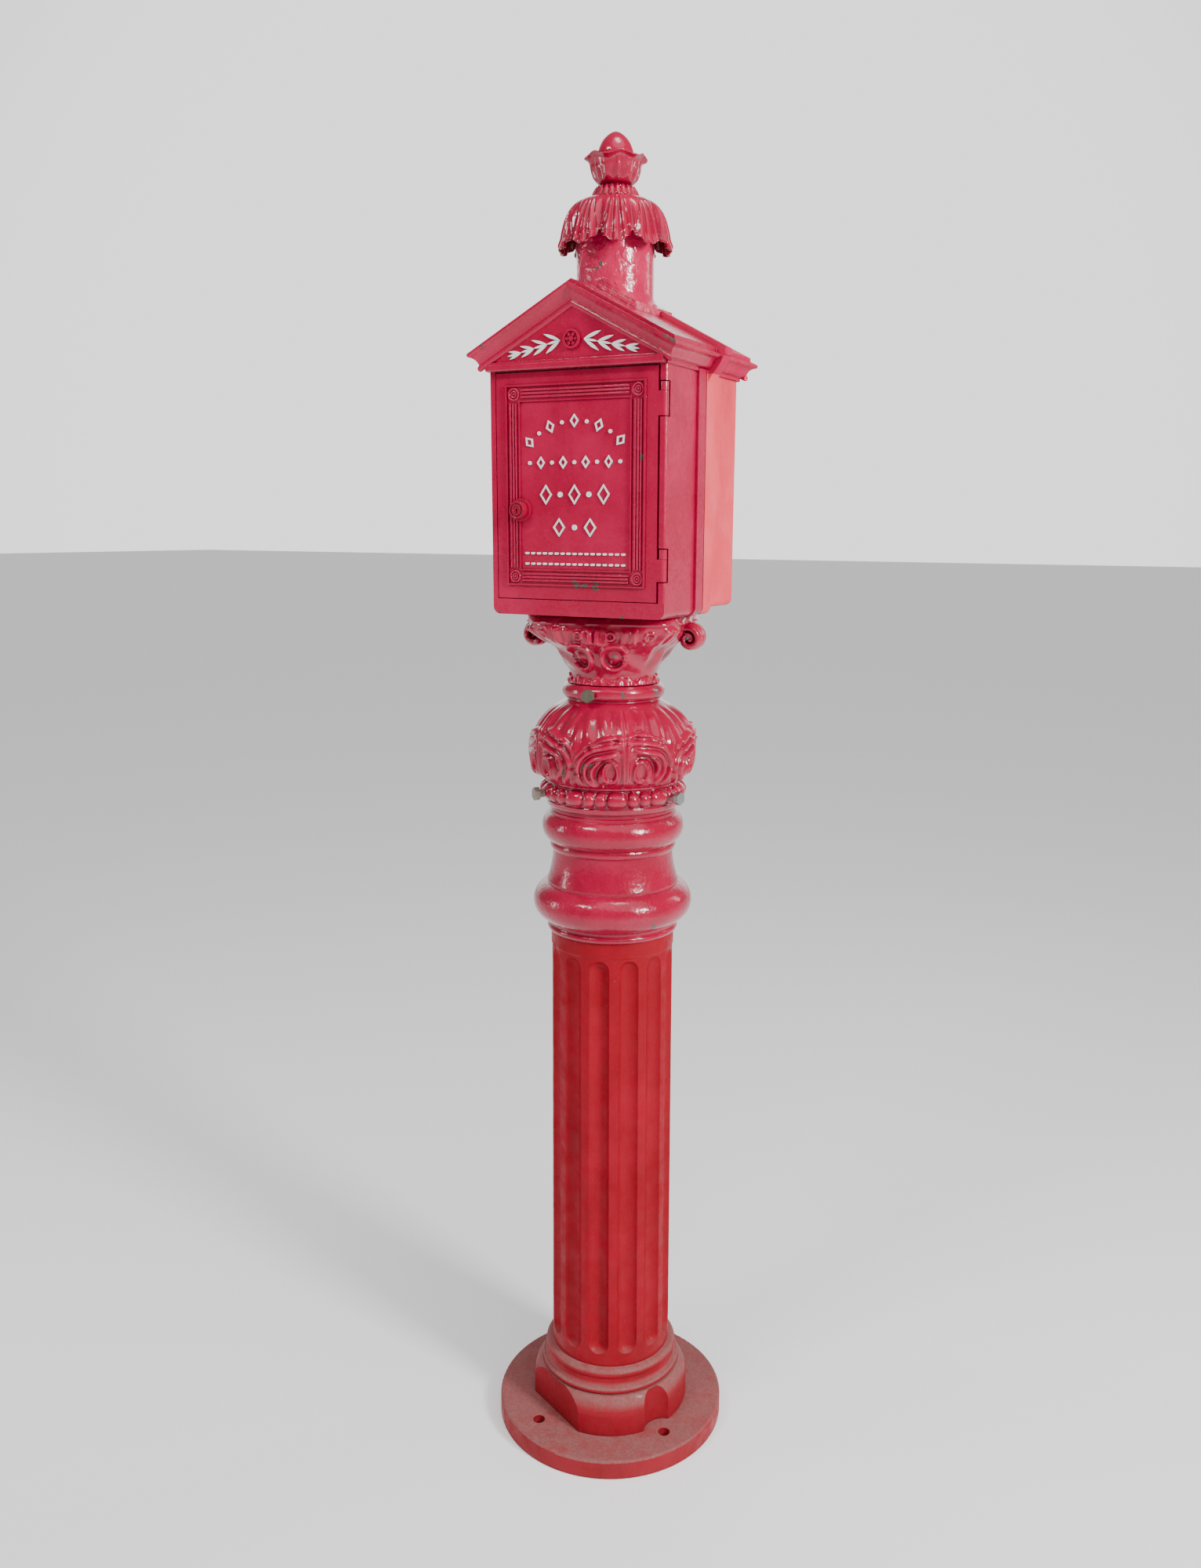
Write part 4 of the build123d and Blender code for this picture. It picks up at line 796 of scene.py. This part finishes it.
def skirt():
    azimuths = np.arange(0, 360, 0.5)
    v = wrap(azimuths - PETAL_TURN, 360 / PETALS) / (180 / PETALS)
    edge = np.abs(v)
    rounding = np.minimum(edge / 0.86, 1) ** 2
    hem = HEM_Z + 11 * rounding + 6.5 * ease(edge, 0.80, 0.96) + 0.8 * np.cos(v * pi * PLEATS)
    shape = [(40, 2090.6), (54, 2087.2), (66, 2079), (76, 2062)]
    shape += [(81, 2046), (83.6, 2033), (86.6, 2009)]
    radii, levels = np.array(smooth_curve(shape, 40)).T
    rows, worn = [], []

    def row(radius, z, relief=0.0):
        rows.append(on_azimuths(azimuths, radius, z))
        # relief layer: low values become painted shade, high values the worn colour
        worn.append(np.broadcast_to(0.5 + relief, azimuths.shape))

    row(6.5, 2102.2)
    row(21, 2102.2)
    # toothed coronet under the finial
    for t in np.linspace(0, 1, 11):
        teeth = 2.8 * np.abs(np.cos(np.radians(azimuths * 11))) ** 0.7 * ease(t, 1.0, 0.8)
        reach = 27.5 + 3.5 * ease(t, 0, 0.2) + 6.0 * t
        level = 2103.4 - 13.4 * t + 1.6 * ease(t, 0.2, 0) * teeth
        # the ground between the teeth gets painted shade through the relief layer
        row(reach + teeth, level, teeth / 6 - 0.25)
    row(39, 2090.2)
    # pleated petals
    top = levels[0]
    outer = []
    for t in np.linspace(0, 1, 34) ** 0.9:
        z = top + (hem - top) * t
        base = np.interp(z, levels[::-1], radii[::-1])
        fan = v / (0.45 + 0.55 * t)
        pleat = np.cos(fan * pi * PLEATS) * 2.1 * ease(t, 0.0, 0.35) * ease(np.abs(fan), 1.0, 0.86)
        hollow = -5.5 * ease(edge, 0.55, 1.0) * ease(t, 0.05, 0.6)
        keel = -1.2 * ridge(v, 0.10) * ease(t, 0.0, 0.4)
        flare = 3.4 * ease(t, 0.80, 1.0) * (1 - 0.5 * edge)
        outer.append((base + pleat + hollow + keel + flare, z, (pleat + hollow * 0.5) / 9))
    for radius, z, relief in outer:
        row(radius, z, relief)
    for radius, z, _ in outer[:0:-3]:
        # underside of the hem: painted shade through the relief layer
        row(radius - HEM_THICK, z + 0.6, -0.45)
    row(44, 2084)
    row(30, 2073)
    row(6.5, 2073)
    ring_body("leaf_skirt", np.array(rows), np.array(worn), "head", ["skirt_cap"])


def finial_bud():
    azimuths = np.arange(0, 360, 1.0)
    a = np.radians(azimuths)
    leaf = np.cos(a * 6 - radians(20))
    wave = np.sin(a * 6 + 0.6) + 0.4 * np.sin(a * 13)
    foot = [(6.0, 2102.2), (21.5, 2102.2), (21.8, 2105), (20.3, 2108)]
    cup = [(22.5, 2110), (28.5, 2114), (33.6, 2121.5), (36.8, 2131), (38.2, 2138.5)]
    cup += [(41, 2144), (46.4, 2147.6)]
    lip_top = [(47.4, 2148.6), (46.4, 2150), (41, 2148.6), (34, LIP_Z), (28.5, LIP_Z)]
    bud = [(27.4, 2150), (27.6, 2156), (25.6, 2164), (20.6, 2173.5), (13.5, 2181)]
    bud += [(6, 2185.8), (1.2, TOP_Z)]
    core = [(0.5, TOP_Z), (0.5, 2140), (6.0, 2140)]
    cupped = foot + smooth_curve(cup, 34)
    lipped = cupped + lip_top
    keel = ridge(wrap(azimuths - 33, 60), 6.0) + 0.6 * ridge(wrap(azimuths - 3, 60), 5.0)
    dent = ridge(np.abs(wrap(azimuths - 33, 60)) - 15, 9)
    rows, worn = [], []
    for i, (radius, z) in enumerate(lipped + smooth_curve(bud, 26) + core):
        share = ease(z, 2110, 2120) if i < len(cupped) else 0.0
        lip = ease(z, 2138, 2149) * ease(radius, 29, 40) if i < len(lipped) else 0.0
        vein = share * (1.1 * leaf + 1.2 * keel) * (1 - lip)
        hollow = -1.7 * share * dent * ridge(z - 2124, 11)
        reach = radius + vein + hollow + 1.5 * lip * wave
        level = np.minimum(z - 2.8 * lip * np.cos(a * 6 - 0.9), TOP_Z)
        rows.append(on_azimuths(azimuths, reach, level))
        # relief layer: the hollows get painted shade, the veins the worn colour
        worn.append(0.5 + (vein + hollow) / 8)
    ring_body("bud_finial", np.array(rows), np.array(worn), "head", ["finial"])


skirt()
finial_bud()


# ---- floor, light, camera ----------------------------------------------------------------
FLOOR_HALF = 60.0
floor_mesh = bpy.data.meshes.new("floor")
corners = ((-1, -1), (1, -1), (1, 1), (-1, 1))
floor_corners = [(x * FLOOR_HALF, y * FLOOR_HALF, 0) for x, y in corners]
floor_mesh.from_pydata(floor_corners, [], [(0, 1, 2, 3)])
floor = bpy.data.objects.new("floor", floor_mesh)
bpy.context.scene.collection.objects.link(floor)
pale = Finish("pale_floor")
pale.set("Base Color", (0.86, 0.86, 0.86))
pale.set("Roughness", 0.9)
pale.set("Emission Color", (1.0, 1.0, 1.0))
pale.set("Emission Strength", 0.18)
floor_mesh.materials.append(pale.material)

# azimuth of the camera's view; the sky is pale ahead of it and dimmer behind it
HEADING = radians(27.013)
world = bpy.data.worlds.new("studio")
world.use_nodes = True
sky = world.node_tree
facing = sky.nodes.new("ShaderNodeTexCoord").outputs["Generated"]
toward = sky.nodes.new("ShaderNodeVectorMath")
toward.operation = "DOT_PRODUCT"
sky.links.new(facing, toward.inputs[0])
toward.inputs[1].default_value = (-sin(HEADING), cos(HEADING), 0.0)
fade = sky.nodes.new("ShaderNodeMapRange")
fade.interpolation_type = "SMOOTHSTEP"
sky.links.new(toward.outputs["Value"], fade.inputs[0])
limits = {"From Min": 0.7, "From Max": 0.93, "To Min": 0.2, "To Max": 1.7}
for key, value in limits.items():
    fade.inputs[key].default_value = value
sky.nodes["Background"].inputs["Color"].default_value = (1.0, 1.0, 1.0, 1.0)
sky.links.new(fade.outputs[0], sky.nodes["Background"].inputs["Strength"])
bpy.context.scene.world = world


def light(name, kind, direction):
    """A light of a kind that shines along a direction."""
    made = bpy.data.objects.new(name, bpy.data.lights.new(name, kind))
    bpy.context.scene.collection.objects.link(made)
    made.rotation_mode = "QUATERNION"
    made.rotation_quaternion = direction.to_track_quat("-Z", "Y")
    return made


def lamp(name, place, aim_z, size, power):
    """A rectangular lamp aimed at the object's axis at a height."""
    made = light(name, "AREA", Vector((0, 0, aim_z)) - Vector(place))
    made.location = place
    made.data.shape = "RECTANGLE"
    made.data.size, made.data.size_y = size
    made.data.energy = power


sun = light("soft_sun", "SUN", Vector((-0.45, 0.35, -1.0)))
sun.data.energy, sun.data.angle = 1.15, radians(60)
lamp("side_window", (3.2, -0.9, 2.6), 1.5, (0.6, 0.9), 165)
lamp("front_top", (-1.0, -2.6, 3.8), 1.4, (1.1, 0.35), 55)
lamp("ceiling", (0.6, -0.4, 4.2), 1.0, (0.7, 0.7), 20)
lamp("back_window", (1.9, 2.3, 2.3), 1.6, (0.35, 1.2), 9)
lamp("left_fill", (-2.6, -1.2, 1.6), 1.2, (0.4, 1.2), 14)

# the photograph's camera: eye height, looking down a little
CAMERA_PLACE = Vector((0.9725, -1.8796, 1.6024))
PITCH, ROLL = radians(12.11), radians(0.327)
FOCAL_LENGTH, SENSOR_WIDTH = 29.483, 36.0
SHIFT_X, SHIFT_Y = -0.01275, 0.0113
ahead = Vector((-sin(HEADING) * cos(PITCH), cos(HEADING) * cos(PITCH), -sin(PITCH)))
right = Vector((cos(HEADING), sin(HEADING), 0))
up = right.cross(ahead)
tilted_right = cos(ROLL) * right + sin(ROLL) * up
tilted_up = -sin(ROLL) * right + cos(ROLL) * up
optics = bpy.data.cameras.new("camera")
optics.lens, optics.sensor_width = FOCAL_LENGTH, SENSOR_WIDTH
optics.shift_x, optics.shift_y = SHIFT_X, SHIFT_Y
camera = bpy.data.objects.new("camera", optics)
bpy.context.scene.collection.objects.link(camera)
turn = Matrix((tilted_right, tilted_up, -ahead)).transposed()
camera.matrix_world = Matrix.Translation(CAMERA_PLACE) @ turn.to_4x4()
bpy.context.scene.camera = camera
